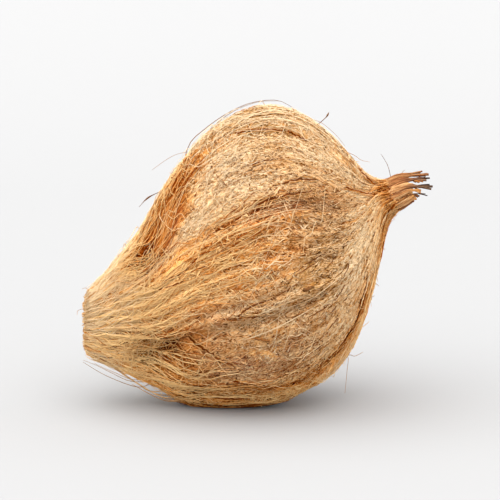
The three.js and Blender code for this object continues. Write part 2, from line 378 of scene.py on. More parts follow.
def fibre_uvs(count, steps, corners):
    """Each fibre has its own cell of a square grid: its sides lie side by side, along the cell."""
    across = math.ceil(math.sqrt(count))
    cell = np.stack([np.arange(count) % across, np.arange(count) // across], -1)
    step, side = np.meshgrid(np.arange(steps - 1), np.arange(corners), indexing="ij")
    low, high = side / corners, (side + 1) / corners
    start, end = step / (steps - 1), (step + 1) / (steps - 1)
    quad = np.stack([low, start, low, end, high, end, high, start], -1).reshape(-1, 4, 2)
    cap = np.array([[0, 0], [0.3, 0], [0.15, 0.05]])
    if corners == 4:
        cap = np.array([[0, 0], [0.3, 0], [0.3, 0.05], [0, 0], [0.3, 0.05], [0, 0.05]])
    caps = np.concatenate([cap, cap * [1, -1] + [0, 1]])
    inner = 1 - 2 * CELL_MARGIN
    place = lambda local: (cell[:, None] + CELL_MARGIN + inner * local.reshape(-1, 2)[None]) / across
    return place(quad), place(caps)


def tubes(name, points, outward, radius, flat, values, material, corners=3):
    """Closed bars along (count, steps, 3) points, with a radius at each point."""
    count, steps, _ = points.shape
    along = unit(np.gradient(points, axis=1))
    across = unit(np.cross(along, outward))
    up = np.cross(across, along)
    turns = np.radians(90 + 360 / corners * np.arange(corners) + (45 if corners == 4 else 0))
    ring = points[:, :, None] + radius[..., None, None] * (
        np.cos(turns)[:, None] * across[:, :, None] + flat * np.sin(turns)[:, None] * up[:, :, None]
    )
    first = (np.arange(count * steps) * corners).reshape(count, steps)
    side = np.arange(corners)
    a = first[:, :-1, None] + side
    b = first[:, :-1, None] + (side + 1) % corners
    quads = np.stack([a, a + corners, b + corners, b], -1).reshape(-1, 4)
    fan = np.array([[0, k, k + 1] for k in range(1, corners - 1)])
    starts = first[:, 0, None, None] + fan
    ends = first[:, -1, None, None] + fan[:, ::-1]
    triangles = np.concatenate([starts, ends], 1).reshape(-1, 3)
    quad_uvs, cap_uvs = fibre_uvs(count, steps, corners)
    uvs = np.concatenate([quad_uvs.reshape(-1, 2), cap_uvs.reshape(-1, 2)])
    spread = {}
    for key, value in values.items():
        value = np.broadcast_to(value, (count, steps) + value.shape[2:])
        spread[key] = np.repeat(value.reshape((count * steps,) + value.shape[2:]), corners, axis=0)
    round_bar = np.stack([np.cos(turns), np.sin(turns), 0 * turns], -1)
    spread["flow"] = spread["flow"] + np.tile(round_bar, (count * steps, 1)) * np.repeat(
        radius.reshape(-1, 1), corners, axis=0
    )
    return new_piece(name, ring.reshape(-1, 3), quads, triangles, uvs, spread, material)


# ---- Materials ----


def srgb(red, green, blue):
    """A linear colour from display values of 0 to 255."""
    linear = [c / 12.92 if c <= 0.04045 else ((c + 0.055) / 1.055) ** 2.4 for c in
              (red / 255, green / 255, blue / 255)]
    return (*linear, 1)


def put(tree, kind, settings=None, inputs=None):
    made = tree.nodes.new("ShaderNode" + kind)
    for key, value in (settings or {}).items():
        setattr(made, key, value)
    for key, value in (inputs or {}).items():
        if isinstance(value, bpy.types.NodeSocket):
            tree.links.new(value, made.inputs[key])
        else:
            made.inputs[key].default_value = value
    return made


def sum_up(tree, operation, a, b, c=0.0):
    """A Math node's result."""
    settings = {"operation": operation}
    return put(tree, "Math", settings, {0: a, 1: b, 2: c}).outputs[0]


def blend(tree, share, a, b):
    """Colour a, changing to b as share goes from 0 to 1."""
    return put(tree, "Mix", {"data_type": "RGBA"}, {0: share, 6: a, 7: b}).outputs[2]


def ramp(tree, value, stops):
    made = put(tree, "ValToRGB", None, {0: value})
    elements = made.color_ramp.elements
    while len(elements) < len(stops):
        elements.new(0.5)
    for element, (place, colour) in zip(elements, stops):
        element.position = place
        element.color = colour
    return made.outputs[0]


def attribute(tree, name, output="Fac"):
    return put(tree, "Attribute", {"attribute_name": name}).outputs[output]


def new_group(name, inputs, outputs):
    group = bpy.data.node_groups.new(name, "ShaderNodeTree")
    for kind, sockets in (("INPUT", inputs), ("OUTPUT", outputs)):
        for socket, socket_type in sockets.items():
            group.interface.new_socket(socket, in_out=kind, socket_type="NodeSocket" + socket_type)
    return group, group.nodes.new("NodeGroupInput").outputs, group.nodes.new("NodeGroupOutput").inputs


def coir_colours():
    """Colour of coir: tone from dark to pale, hue from straw to rust, and weathered grey."""
    group, given, result = new_group(
        "coir_colours", {"Tone": "Float", "Hue": "Float", "Ash": "Float"}, {"Colour": "Color"}
    )
    straw = ramp(group, given["Tone"], [
        (0.0, srgb(76, 38, 6)),
        (0.25, srgb(150, 92, 28)),
        (0.5, srgb(206, 150, 84)),
        (0.75, srgb(235, 190, 136)),
        (1.0, srgb(252, 224, 182)),
    ])
    rust = ramp(group, given["Tone"], [
        (0.0, srgb(76, 24, 0)),
        (0.25, srgb(152, 68, 4)),
        (0.5, srgb(208, 128, 54)),
        (0.75, srgb(238, 170, 94)),
        (1.0, srgb(250, 208, 144)),
    ])
    grey = ramp(group, given["Tone"], [
        (0.0, srgb(54, 42, 34)),
        (0.5, srgb(158, 136, 112)),
        (1.0, srgb(222, 206, 182)),
    ])
    coir = blend(group, given["Hue"], straw, rust)
    group.links.new(blend(group, given["Ash"], coir, grey), result["Colour"])
    return group


def coir_grain():
    """Streaks along the fibres, finer lines, short pits between matted fibres, and soft patches.
    The materials darken the pits as painted shade.
    """
    group, given, result = new_group(
        "coir_grain",
        {"Flow": "Vector", "Fineness": "Float"},
        {"Streaks": "Float", "Lines": "Float", "Grains": "Float", "Pits": "Float", "Patches": "Float"},
    )

    def noise(stretch, scale, detail, warp):
        scaled = put(group, "VectorMath", {"operation": "MULTIPLY"}, {0: given["Flow"], 1: (1, 1, stretch)})
        size = sum_up(group, "MULTIPLY", given["Fineness"], scale)
        made = put(group, "TexNoise", None, {
            "Vector": scaled.outputs[0], "Scale": size, "Detail": detail, "Roughness": 0.6,
            "Distortion": warp,
        })
        return made.outputs[0]

    def sharpen(value, low, high):
        return put(group, "MapRange", {"interpolation_type": "SMOOTHSTEP"},
                   {0: value, 1: low, 2: high}).outputs[0]

    group.links.new(sharpen(noise(0.09, 0.9, 3.0, 0.3), 0.3, 0.7), result["Streaks"])
    group.links.new(sharpen(noise(0.07, 2.6, 2.0, 0.2), 0.3, 0.7), result["Lines"])
    group.links.new(sharpen(noise(0.42, 1.5, 1.5, 0.4), 0.36, 0.64), result["Grains"])
    clusters = noise(0.5, 0.13, 2.0, 0.3)
    pits = sum_up(group, "MULTIPLY_ADD", clusters, 0.35, noise(0.45, 1.7, 1.0, 0.6))
    group.links.new(sharpen(pits, 0.77, 0.85), result["Pits"])
    group.links.new(sharpen(noise(0.7, 0.055, 3.0, 0.4), 0.38, 0.66), result["Patches"])
    return group


COLOURS = coir_colours()
GRAIN = coir_grain()


def finish_coir(material, tree, tone, hue, ash, height, distance, roughness):
    colour = put(tree, "Group", {"node_tree": COLOURS}, {"Tone": tone, "Hue": hue, "Ash": ash})
    bump = put(tree, "Bump", None, {"Strength": 0.8, "Distance": distance, "Height": height})
    shader = put(tree, "BsdfPrincipled", None, {
        "Base Color": colour.outputs[0], "Roughness": roughness, "Normal": bump.outputs[0],
        "Specular IOR Level": 0.04,
    })
    out = put(tree, "OutputMaterial")
    tree.links.new(shader.outputs[0], out.inputs[0])
    return material


def new_material(name):
    material = bpy.data.materials.new(name)
    material.use_nodes = True
    material.node_tree.nodes.clear()
    return material, material.node_tree


def coir_grain_of(tree, fineness):
    flow = attribute(tree, "flow", "Vector")
    return put(tree, "Group", {"node_tree": GRAIN}, {"Flow": flow, "Fineness": fineness}).outputs


def husk_material():
    material, tree = new_material("matted_husk")
    grain = coir_grain_of(tree, 1.0)
    tone = sum_up(tree, "MULTIPLY_ADD", grain["Streaks"], 0.08, attribute(tree, "tone"))
    tone = sum_up(tree, "MULTIPLY_ADD", grain["Grains"], 0.24, tone)
    # Painted shade in the pits between matted fibres.
    tone = sum_up(tree, "MULTIPLY_ADD", grain["Pits"], -0.5, tone)
    hue = sum_up(tree, "MULTIPLY_ADD", grain["Patches"], 0.3, attribute(tree, "hue"))
    ash = sum_up(tree, "MULTIPLY", grain["Patches"], attribute(tree, "ash"))
    height = sum_up(tree, "MULTIPLY_ADD", grain["Pits"], -1.0, grain["Grains"])
    return finish_coir(material, tree, tone, hue, ash, height, 0.0005, 0.9)


def fibre_material(name, fineness, streak, grains, pits, distance, roughness):
    material, tree = new_material(name)
    grain = coir_grain_of(tree, fineness)
    tone = sum_up(tree, "MULTIPLY_ADD", grain["Streaks"], streak, attribute(tree, "tone"))
    tone = sum_up(tree, "MULTIPLY_ADD", grain["Grains"], grains, tone)
    # Painted shade in the pits between matted fibres.
    tone = sum_up(tree, "MULTIPLY_ADD", grain["Pits"], -pits, tone)
    tone = sum_up(tree, "SUBTRACT", tone, (streak + grains) / 2)
    return finish_coir(material, tree, tone, attribute(tree, "hue"), attribute(tree, "ash"),
                       grain["Lines"], distance, roughness)


MATTED = husk_material()
STRAND = fibre_material("long_strands", 1.6, 0.16, 0.08, 0.0, 0.0002, 0.8)
FELT = fibre_material("felted_fibres", 1.0, 0.06, 0.26, 0.55, 0.0002, 0.9)
WOOD = fibre_material("woody_strips", 1.6, 0.4, 0.0, 0.1, 0.0004, 0.85)


# ---- Colour of the coir by its place on the husk ----


def flow_at(along, angle):
    """A vector that runs with the fibres: round the husk in x and y, along it in z, in mm."""
    a = np.radians(angle)
    arc = np.interp(along, PLACES, ARC)
    return np.stack([FLOW_RADIUS * np.cos(a), FLOW_RADIUS * np.sin(a), arc + 0 * a], -1)


FLOW_RADIUS = 55  # of the round that flow_at goes in, close to the husk's own
# Place along, angle, length, width; then the change of tone (0 dark, 1 pale), of hue (0 straw,
# 1 rust) and of ash (1 weathered grey). Most rows are the coir's own colour; some are painted
# light and shade, which lighten the sawn end, a rim and a crevice that the lamps leave dim, and
# darken the hollows more than their rust colour.
COLOUR_AND_LIGHT_PATCHES = [
    # Hollows behind the tuft: rust colour, darkened further as painted shade.
    (0.25, 29, 0.024, 9, -0.45, 0.9, 0.0),
    (0.29, 26, 0.03, 9, -0.32, 0.9, 0.0),
    (0.352, 31, 0.03, 11, -0.6, 0.45, 0.0),
    (0.345, 42, 0.03, 8, -0.15, 0.4, 0.0),
    (0.64, 52, 0.04, 8, -0.1, 0.1, 0.0),
    (0.37, 16, 0.06, 9, -0.16, 0.5, 0.0),
    (0.32, 78, 0.1, 22, 0.12, 0.4, 0.0),
    (0.42, 38, 0.12, 22, 0.06, 0.0, 0.0),
    # Painted light that lifts the shade in the crevice at 63 degrees.
    (0.43, 64, 0.09, 5, 0.14, -0.4, 0.0),
    (0.41, 46, 0.08, 9, -0.04, 0.3, 0.0),
    (0.55, 27, 0.09, 20, -0.03, -0.3, 0.0),
    (0.37, 58, 0.05, 6, 0.04, -0.3, 0.0),
    (0.535, 66, 0.03, 7, -0.12, 0.1, 0.0),
    (0.58, 84, 0.07, 18, 0.0, -0.3, 0.0),
    (0.47, 12, 0.07, 16, 0.03, -0.4, 0.0),
    (0.65, 6, 0.07, 14, 0.04, -0.35, 0.0),
    (0.73, 118, 0.05, 12, -0.05, 0.3, 0.0),
    (0.43, 74, 0.04, 6, 0.0, 0.35, 0.0),
    (0.87, 40, 0.04, 30, -0.1, 0.3, 0.0),
    (0.42, 134, 0.06, 16, 0.0, 0.6, 0.0),
    (0.62, 84, 0.06, 16, 0.0, -0.25, 0.0),
    (0.23, 114, 0.05, 14, 0.0, 0.6, 0.0),
    (0.375, 106, 0.03, 9, 0.0, -0.5, 0.2),
    (0.44, 166, 0.1, 12, 0.0, 0.35, 0.0),
    (0.62, 166, 0.12, 14, 0.1, -0.4, 0.0),
    (0.65, 151, 0.05, 4, -0.35, 0.4, 0.0),
    (0.38, 73, 0.08, 8, -0.06, 0.3, 0.0),
    # The lower hollow behind the tuft: rust colour, darkened further as painted shade.
    (0.3, 114, 0.022, 8, -0.5, 0.6, 0.0),
    (0.3, 116, 0.06, 22, -0.16, 0.7, 0.0),
    (0.60, 74, 0.06, 16, -0.18, 0.1, 0.1),
    (0.36, 148, 0.10, 12, 0.0, 0.3, 0.0),
    (0.57, 65, 0.12, 6, -0.12, 0.0, 0.35),
    (0.71, 84, 0.06, 28, 0.06, -0.3, 0.0),
    (0.66, 106, 0.08, 16, 0.14, -0.4, 0.0),
    (0.60, 138, 0.08, 14, 0.1, -0.3, 0.0),
    (0.54, 160, 0.08, 16, 0.22, -0.6, 0.0),
    (0.62, 22, 0.07, 17, 0.12, -0.6, 0.0),
    (0.33, 18, 0.06, 9, 0.0, 0.3, 0.0),
    (0.325, 47, 0.028, 9, -0.3, 0.6, 0.0),
    (0.27, 2, 0.12, 14, 0.06, 0.25, 0.0),
    (0.4, 3, 0.12, 10, 0.18, -0.5, 0.0),
    (0.225, 34, 0.05, 14, -0.2, 0.8, 0.0),
    (0.13, 155, 0.05, 25, 0.06, -0.4, 0.0),
    (0.28, 156, 0.08, 12, -0.12, 0.1, 0.0),
    (0.27, 78, 0.1, 12, 0.2, 0.0, 0.0),
    (0.37, 104, 0.05, 10, -0.12, 0.1, 0.0),
    (0.455, 134, 0.05, 7, 0.1, -0.1, 0.0),
    (0.77, 140, 0.1, 24, 0.14, -0.35, 0.0),
    (0.53, 22, 0.05, 12, -0.1, 0.0, 0.0),
    (0.54, 2, 0.06, 10, -0.32, 0.2, 0.0),
    (0.66, 74, 0.04, 12, -0.08, 0.0, 0.0),
    (0.59, 100, 0.04, 8, -0.12, 0.0, 0.0),
    # Painted light on the lower edge of the tuft, which faces away from the lamps.
    (0.09, 150, 0.05, 24, 0.1, -0.4, 0.0),
    (0.24, 160, 0.05, 14, -0.14, 0.2, 0.0),
    (0.36, 98, 0.04, 6, -0.1, 0.1, 0.0),
    (0.26, 40, 0.05, 14, -0.1, 0.5, 0.0),
    (0.26, 150, 0.12, 24, -0.16, 0.4, 0.0),
    (0.42, 138, 0.12, 22, -0.05, 0.5, 0.0),
    (0.88, 90, 0.035, 40, -0.14, 0.8, 0.0),
    (0.12, 116, 0.06, 18, -0.1, 0.3, 0.0),
    (0.36, 112, 0.025, 9, -0.16, 0.3, 0.0),
    (0.60, 61, 0.07, 9, -0.1, -0.1, 0.0),
    (0.635, 58, 0.03, 8, -0.12, 0.2, 0.0),
    (0.49, 45, 0.06, 22, 0.0, -0.2, 0.0),
    (0.36, 52, 0.05, 8, 0.06, -0.5, 0.0),
    (0.50, 100, 0.14, 24, 0.0, -0.25, 0.0),
    (0.48, 62, 0.1, 8, -0.04, 0.4, 0.0),
    (0.87, 70, 0.05, 60, -0.24, 0.6, 0.0),
    # Painted light on the sawn end, which faces away from the lamps.
    (0.06, 48, 0.04, 46, 0.22, -0.5, 0.0),
    # Painted highlight along the right-hand rim, which faces away from the lamps.
    (0.74, 140, 0.05, 26, 0.2, -0.4, 0.0),
    (0.57, 90, 0.06, 11, -0.16, -0.1, 0.0),
    (0.543, 41, 0.05, 12, -0.16, 0.0, 0.0),
    # Painted light in the crevice at 63 degrees.
    (0.44, 60, 0.08, 7, 0.14, 0.0, 0.0),
    (0.40, 76, 0.12, 14, 0.08, 0.1, 0.0),
    (0.40, 89, 0.09, 6, 0.12, 0.1, 0.0),
    (0.46, 104, 0.06, 5, 0.12, 0.0, 0.0),
    (0.47, 126, 0.04, 8, 0.07, 0.0, 0.0),
    (0.47, 112, 0.14, 24, -0.06, 0.0, 0.1),
    (0.60, 150, 0.16, 4, -0.3, 0.5, 0.0),
    (0.74, 130, 0.06, 4, -0.25, 0.5, 0.0),
    (0.83, 50, 0.06, 12, -0.2, 0.5, 0.0),
    (0.83, 125, 0.07, 10, -0.12, 0.4, 0.0),
    (0.46, 128, 0.08, 12, -0.04, 0.0, 0.35),
    (0.45, 40, 0.05, 10, 0.0, 0.0, 0.3),
    # Hollows on the back: rust colour, darkened further as painted shade.
    (0.30, 214, 0.03, 9, -0.4, 0.4, 0.0),
    (0.29, 262, 0.03, 9, -0.5, 0.5, 0.0),
    (0.30, 326, 0.05, 12, -0.15, 0.4, 0.0),
    (0.55, 282, 0.12, 6, -0.12, 0.0, 0.35),
    (0.62, 222, 0.14, 5, -0.25, 0.5, 0.0),
    (0.48, 205, 0.08, 12, -0.04, 0.0, 0.3),
    (0.52, 336, 0.06, 12, 0.0, 0.0, 0.3),
    (0.085, 78, 0.03, 50, 0.16, -0.2, 0.0),
    (0.24, 84, 0.05, 12, 0.12, 0.0, 0.0),
    (0.228, 111, 0.04, 9, 0.1, 0.15, 0.0),
    (0.96, 0, 0.06, 400, -0.16, 0.35, 0.1),
    (0.52, 4, 0.16, 20, 0.03, -0.9, 0.0),
    (0.5, 172, 0.2, 24, 0.14, 0.35, 0.0),
]
# Places that few strands cross: place along, angle, length, width, share left out.
BARE = [
    (0.33, 40, 0.04, 16, 1.0),
    (0.263, 26, 0.036, 10, 1.0),
    (0.31, 31, 0.035, 11, 1.0),
    (0.33, 66, 0.03, 8, 1.0),
    (0.3, 114, 0.035, 11, 1.0),
    (0.37, 106, 0.03, 9, 1.0),
    (0.29, 262, 0.04, 10, 1.0),
    (0.3, 214, 0.04, 10, 1.0),
]
CHEEK_TONE, STRAND_TONE, TUFT_TONE = 0.9, 0.95, 0.97
CHEEK_HUE, STRAND_HUE, TUFT_HUE = 0.1, 0.62, 0.32
UNDERSIDE_SHADE = 0.11
HOLLOW_SHADE = 0.03  # for each mm of depth
GAP_SHADE = 0.45
RIM_SPLIT_SHADE = 0.7
OUTER_FIBRES = (0.5, 1.1)  # from this lift to this one, fibres come clear of the shade
CONTACT_SHADE = 0.9  # painted shade: how much darker the husk is drawn low down near the floor, where it lies in shadow
CONTACT_SHADE_HEIGHTS = (1.2, 3.6)  # heights between which the painted shade dies away, in mm


def underside(angle):
    """0 on the upper outline, 1 on the lower one."""
    return (1 - np.cos(np.radians(angle))) / 2


def gap_share(along, angle):
    """1 in the small gaps between fibres, which come in drifts."""
    drifts = smooth(0.25, 0.65, streaks(along, angle, 40, 12, 2300))
    small = smooth(0.58, 0.8, streaks(along, angle, 230, 30, 2600))
    return drifts * small * mix(0.5, 1, strand_share(along, angle))


def base_tone(along, angle, lift=0.0):
    """How pale the coir is before each fibre's own difference. Outer fibres miss the gaps' shade."""
    tuft = 1 - smooth(0.16, 0.3, along)
    tone = mix(CHEEK_TONE, STRAND_TONE, strand_share(along, angle))
    tone = mix(tone, TUFT_TONE, tuft) - UNDERSIDE_SHADE * underside(angle)
    change = spotted(0.0, along, angle, COLOUR_AND_LIGHT_PATCHES, column=4)
    shade = HOLLOW_SHADE * gaps(along, angle) + GAP_SHADE * gap_share(along, angle)
    shade = shade + RIM_SPLIT_SHADE * rim_split(along, angle)
    outer = smooth(*OUTER_FIBRES, lift)
    darker = np.maximum(-change, 0) * (1 - 0.6 * outer)
    return tone + np.maximum(change, 0) - shade * (1 - 0.85 * outer) - darker


# Painted shade on the husk and its fibres where they come down to the floor.
def contact_shade(points):
    return CONTACT_SHADE * (1 - smooth(*CONTACT_SHADE_HEIGHTS, points[..., 2]))


def bareness(along, angle):
    return spotted(rim_split(along, angle), along, angle, BARE)


def base_hue(along, angle):
    tuft = 1 - smooth(0.12, 0.3, along)
    hue = mix(CHEEK_HUE, STRAND_HUE, strand_share(along, angle))
    # Rustier on the underside, as painted warm shade, and in the gaps between fibres, partly the husk's own
    # rust and partly painted shade.
    hue = mix(hue, TUFT_HUE, tuft) + 0.5 * underside(angle) + 0.5 * gap_share(along, angle)
    return spotted(hue, along, angle, COLOUR_AND_LIGHT_PATCHES, column=5) + 0.6 * rim_split(along, angle)


def base_ash(along, angle):
    return spotted(0.0 * along, along, angle, COLOUR_AND_LIGHT_PATCHES, column=6)


# ---- The husk ----


HUSK_COLUMNS = 360
HUSK_RINGS = 160
CAP_RINGS = 8  # of the sawn end, from its middle outwards
CAP_TONE = 0.62
CAP_ROUGHNESS = 0.7  # how far the sawn ends stand in, in mm
CAP_FLOW = 2.2  # how much finer the grain is on the sawn end
UV_MARGIN = 0.02


def sawn_rings(rim):
    """Rings of cut fibre ends inside the sawn end's rim."""
    shares = (np.arange(CAP_RINGS) + 0.7) / CAP_RINGS
    centre = rim.mean(0)
    rings = centre + (rim - centre) * shares[:-1, None, None]
    uneven = chance(np.arange(HUSK_COLUMNS)[None], np.arange(CAP_RINGS - 1)[:, None])
    rings[..., 0] = SAWN_X - MIDDLE[0] + CAP_ROUGHNESS * uneven
    return rings


def husk_faces(rows):
    """Quads between the rings, and a fan of triangles at either end."""
    columns = HUSK_COLUMNS
    column = np.arange(columns)
    after = (column + 1) % columns
    first = (np.arange(rows - 1) * columns)[:, None]
    quads = np.stack([first + column, first + after, first + columns + after, first + columns + column], -1)
    middle, tip = rows * columns, rows * columns + 1
    last = (rows - 1) * columns
    fans = np.concatenate([
        np.stack([np.full(columns, middle), after, column], -1),
        np.stack([np.full(columns, tip), last + column, last + after], -1),
    ])
    return quads.reshape(-1, 4), fans


def husk_uvs(rows):
    """Round the husk in u, from the sawn end to the tip in v."""
    columns = HUSK_COLUMNS
    column = np.arange(columns)
    tall = 1 - 2 * UV_MARGIN
    step = tall / rows
    u = np.stack([column, column + 1, column + 1, column], -1) / columns
    v = np.arange(rows)[:-1, None] / rows * tall + UV_MARGIN
    quads = np.stack([
        np.broadcast_to(u, (rows - 1, columns, 4)),
        v[..., None] + np.array([0, 0, step, step]) + 0 * u,
    ], -1)

    def corner(aside, v):
        return np.stack([(column + aside) / columns, column * 0.0 + v], -1)

    low = np.stack([corner(0.5, 0), corner(1, UV_MARGIN), corner(0, UV_MARGIN)], 1)
    high = np.stack([corner(0.5, 1), corner(0, 1 - UV_MARGIN), corner(1, 1 - UV_MARGIN)], 1)
    return np.concatenate([quads.reshape(-1, 2), low.reshape(-1, 2), high.reshape(-1, 2)])


def husk_piece():
    angles = np.arange(HUSK_COLUMNS) * 360 / HUSK_COLUMNS
    arcs = np.linspace(SAWN_ARC, ARC[-1], HUSK_RINGS)
    along, angle = np.meshgrid(place_at(arcs), angles, indexing="ij")
    relief = fine_lift(along, angle)
    points = husk(along, angle, relief)
    points[0, :, 0] = SAWN_X - MIDDLE[0]
    cap = sawn_rings(points[0])
    inner = len(cap)
    grid = np.concatenate([cap, points])
    along = np.concatenate([np.full((inner, HUSK_COLUMNS), along[0, 0]), along])
    angle = np.concatenate([np.tile(angles, (inner, 1)), angle])
    relief = np.concatenate([np.zeros((inner, HUSK_COLUMNS)), relief])
    strands = strand_share(along, angle)
    # Darker and rustier under the strands: partly the husk's own rust, partly painted shade of the gaps. The
    # relief term is painted shade, paler on crests and darker between them.
    tone = base_tone(along, angle) - mix(0.1, 0.4, strands) + mix(0.1, 0.2, strands) * relief
    # Painted shade low down near the floor.
    tone = tone - contact_shade(grid)
    tone[:inner] = CAP_TONE
    hue = base_hue(along, angle) + 0.4 * strands
    ash = 0.3 * (1 - strands) + base_ash(along, angle)
    flow = flow_at(along, angle)
    flow[:inner] = CAP_FLOW * cap[..., [1, 2, 0]] * [1, 1, 0]

    def with_ends(field):
        """The field's values at every point, then at the middles of the two ends."""
        return np.concatenate([field.reshape((-1,) + field.shape[2:]), field[0, :1], field[-1, :1]])

    fields = {"tone": tone, "hue": hue, "ash": ash, "flow": flow}
    values = {key: with_ends(field) for key, field in fields.items()}
    points = np.concatenate([grid.reshape(-1, 3), [cap[0].mean(0)], [points[-1].mean(0)]])
    quads, fans = husk_faces(len(grid))
    return new_piece("coconut_husk", points, quads, fans, husk_uvs(len(grid)), values, MATTED)


husk_object = husk_piece()
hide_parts("coconut")


# ---- Fibres ----


SUNK_END = 0.9  # how deep a fibre's ends are sunk, in mm
SAWN_FLUSH = (-0.5, 0.3)  # how far a sawn fibre ends from the sawn plane
OUTWARD_REACH = 4.0


def fibres(name, arc, angle, length, steps, radius, material, *, drift, wave, waves, layer, arch,
           loose, tone, hue, ash, flat=0.7, phases=None, scatter=40, bare=0.9):
    """Fibres that lie along the husk. arc and length are in mm, drift and wave in degrees, layer is
    how far they lie off the husk, loose is how far an end may stand up, and bare is the share of
    them left out where the husk is bare."""
    count = len(arc)
    u = np.linspace(0, 1, steps)[None]
    column = lambda value: np.broadcast_to(value, (count,))[:, None]
    phases = rng.uniform(0, 2 * math.pi, (2, count)) if phases is None else phases
    phase, second = phases[..., None]
    sawn = SAWN_ARC + uniform(*SAWN_FLUSH, count)[:, None]
    at = np.clip(column(arc) + column(length) * u, sawn, ARC[-1])
    turns = column(waves) * u * 2 * math.pi
    sway = column(wave) * (np.sin(turns + phase) + 0.5 * np.sin(2.3 * turns + second))
    angles = column(angle) + column(drift) * u + sway
    along = place_at(at)
    sunk_ends = SUNK_END * (np.abs(2 * u - 1) ** 6)
    stand = column(loose) * np.where(rng.random((count, 1)) < 0.5, u, 1 - u) ** 3
    lift = column(layer) + column(arch) * np.sin(math.pi * u) - sunk_ends + stand
    points = husk(along, angles, lift + 0.5 * fine_lift(along, angles))
    outward = outward_at(along, angles)
    thick = column(radius) * (1 - 0.75 * np.abs(2 * u - 1) ** 3)
    points[..., 2] = np.maximum(points[..., 2], thick)
    values = {
        # Painted shade near the floor, as on the husk.
        "tone": np.clip(base_tone(along, angles, lift) + column(tone) - contact_shade(points), 0, 1),
        "hue": np.clip(base_hue(along, angles) + column(hue), 0, 1),
        "ash": np.clip(base_ash(along, angles) + column(ash), 0, 1),
        "flow": flow_at(along, angles) + scatter * rng.uniform(-1, 1, (count, 1, 3)),
    }
    keep = rng.random(count) >= bare * bareness(along, angles).max(1)
    values = {key: value[keep] for key, value in values.items()}
    return tubes(name, points[keep], outward[keep], thick[keep], flat, values, material)


def outward_at(along, angle):
    """The way straight out of the husk, from a point below it to a point above it."""
    return unit(surface(along, angle, OUTWARD_REACH) - surface(along, angle, -OUTWARD_REACH))


def uniform(low, high, count):
    return rng.uniform(low, high, count)


FULL_HEIGHT = 125  # of the husk at its thickest, in mm
SPARE_PLACES = 5  # places tried for each one wanted


def girth(arc):
    """The husk's height, as a share of about its largest."""
    return 2 * half_height(place_at(arc)) / FULL_HEIGHT


def spots(count, low, high, first, last, ridges, cheeks=1.0):
    """Places spread evenly over part of the husk, thinned to these shares on ridges and cheeks."""
    tries = count * SPARE_PLACES
    arc = uniform(first, last, tries)
    angle = uniform(low, high, tries)
    wanted = girth(arc) * mix(cheeks, ridges, strand_share(place_at(arc), angle))
    keep = rng.random(tries) < wanted
    return arc[keep][:count], angle[keep][:count]


def felt(name, count, low, high):
    """Short crumpled scraps of fibre, matted together over the nut between its ridges."""
    arc, angle = spots(count, low, high, 30, 158, 0.45)
    n = len(arc)
    return fibres(
        name, arc, angle, uniform(1.0, 3.4, n), 3, uniform(0.2, 0.45, n), FELT,
        drift=rng.normal(0, 1.9, n), wave=uniform(0, 0.4, n), waves=0.5,
        layer=uniform(0.15, 0.7, n), arch=uniform(0, 0.25, n), loose=0,
        tone=rng.normal(0.0, 0.08 + 0.05 * underside(angle), n), hue=rng.normal(0, 0.15, n),
        ash=np.clip(rng.normal(0.0, 0.12, n), 0, 0.8), flat=0.35, scatter=0,
    )


def scraps(name, count):
    """Short matted fibres caught among the long strands."""
    arc, angle = spots(count, 0, 360, 20, 156, 1.0, cheeks=0.05)
    n = len(arc)
    return fibres(
        name, arc, angle, uniform(1.2, 5.5, n), 3, uniform(0.16, 0.4, n), FELT,
        drift=rng.normal(0, 3, n), wave=uniform(0, 0.6, n), waves=0.5,
        layer=uniform(0.3, 1.3, n), arch=uniform(0, 0.3, n), loose=0,
        tone=rng.normal(-0.02, 0.11, n), hue=rng.normal(0.05, 0.15, n), ash=0.0, flat=0.4,
    )


def flecks(name, count):
    """Short dark strokes in the splits and pits between the matted fibres: painted shade."""
    arc, angle = spots(count, 0, 360, 26, 152, 0.9)
    n = len(arc)
    longer = 1 + 2 * strand_share(place_at(arc), angle)
    return fibres(
        name, arc, angle, 0.6 + 2.4 * longer * rng.random(n) ** 2, 3, uniform(0.16, 0.36, n), FELT,
        drift=rng.normal(0, 0.8, n), wave=uniform(0, 0.3, n), waves=0.5,
        layer=uniform(0.55, 0.8, n) + 0.3 * (longer - 1), arch=0.1, loose=0,
        tone=rng.normal(-0.44, 0.13, n), hue=rng.normal(0.25, 0.15, n), ash=0.0, flat=0.5,
    )


def cheek_hairs(name, count):
    """Thin hairs that lie along the cheeks."""
    arc, angle = spots(count, 0, 360, 34, 140, 0.6)
    n = len(arc)
    dark = np.where(rng.random(n) < 0.12 + 0.5 * underside(angle), -0.42, 0.06)
    return fibres(
        name, arc, angle, uniform(6, 22, n), 7, uniform(0.1, 0.2, n), FELT,
        drift=rng.normal(0, 4, n), wave=uniform(0.2, 1.4, n), waves=uniform(0.4, 1.8, n),
        layer=uniform(0.1, 0.6, n), arch=uniform(0, 0.5, n), loose=uniform(0, 0.8, n),
        tone=rng.normal(0.02, 0.07, n) + dark, hue=rng.normal(0.1, 0.2, n), ash=0.0, flat=1.0,
    )


DEPTH_SHADE = 0.5  # how much paler a strand gets for each mm that it lies further out
MID_LAYER = 0.2  # the lift, in mm, at which a strand is neither paler nor darker for it
RUST_SHADE = 0.45  # how much darker a rusty strand is


def bundled(bundles, per_bundle, pick):
    """Values for each fibre from pick(number of bundles), shared by the fibres of a bundle."""
    member = np.repeat(np.arange(bundles), per_bundle)
    return [value[..., member] for value in pick(bundles)]


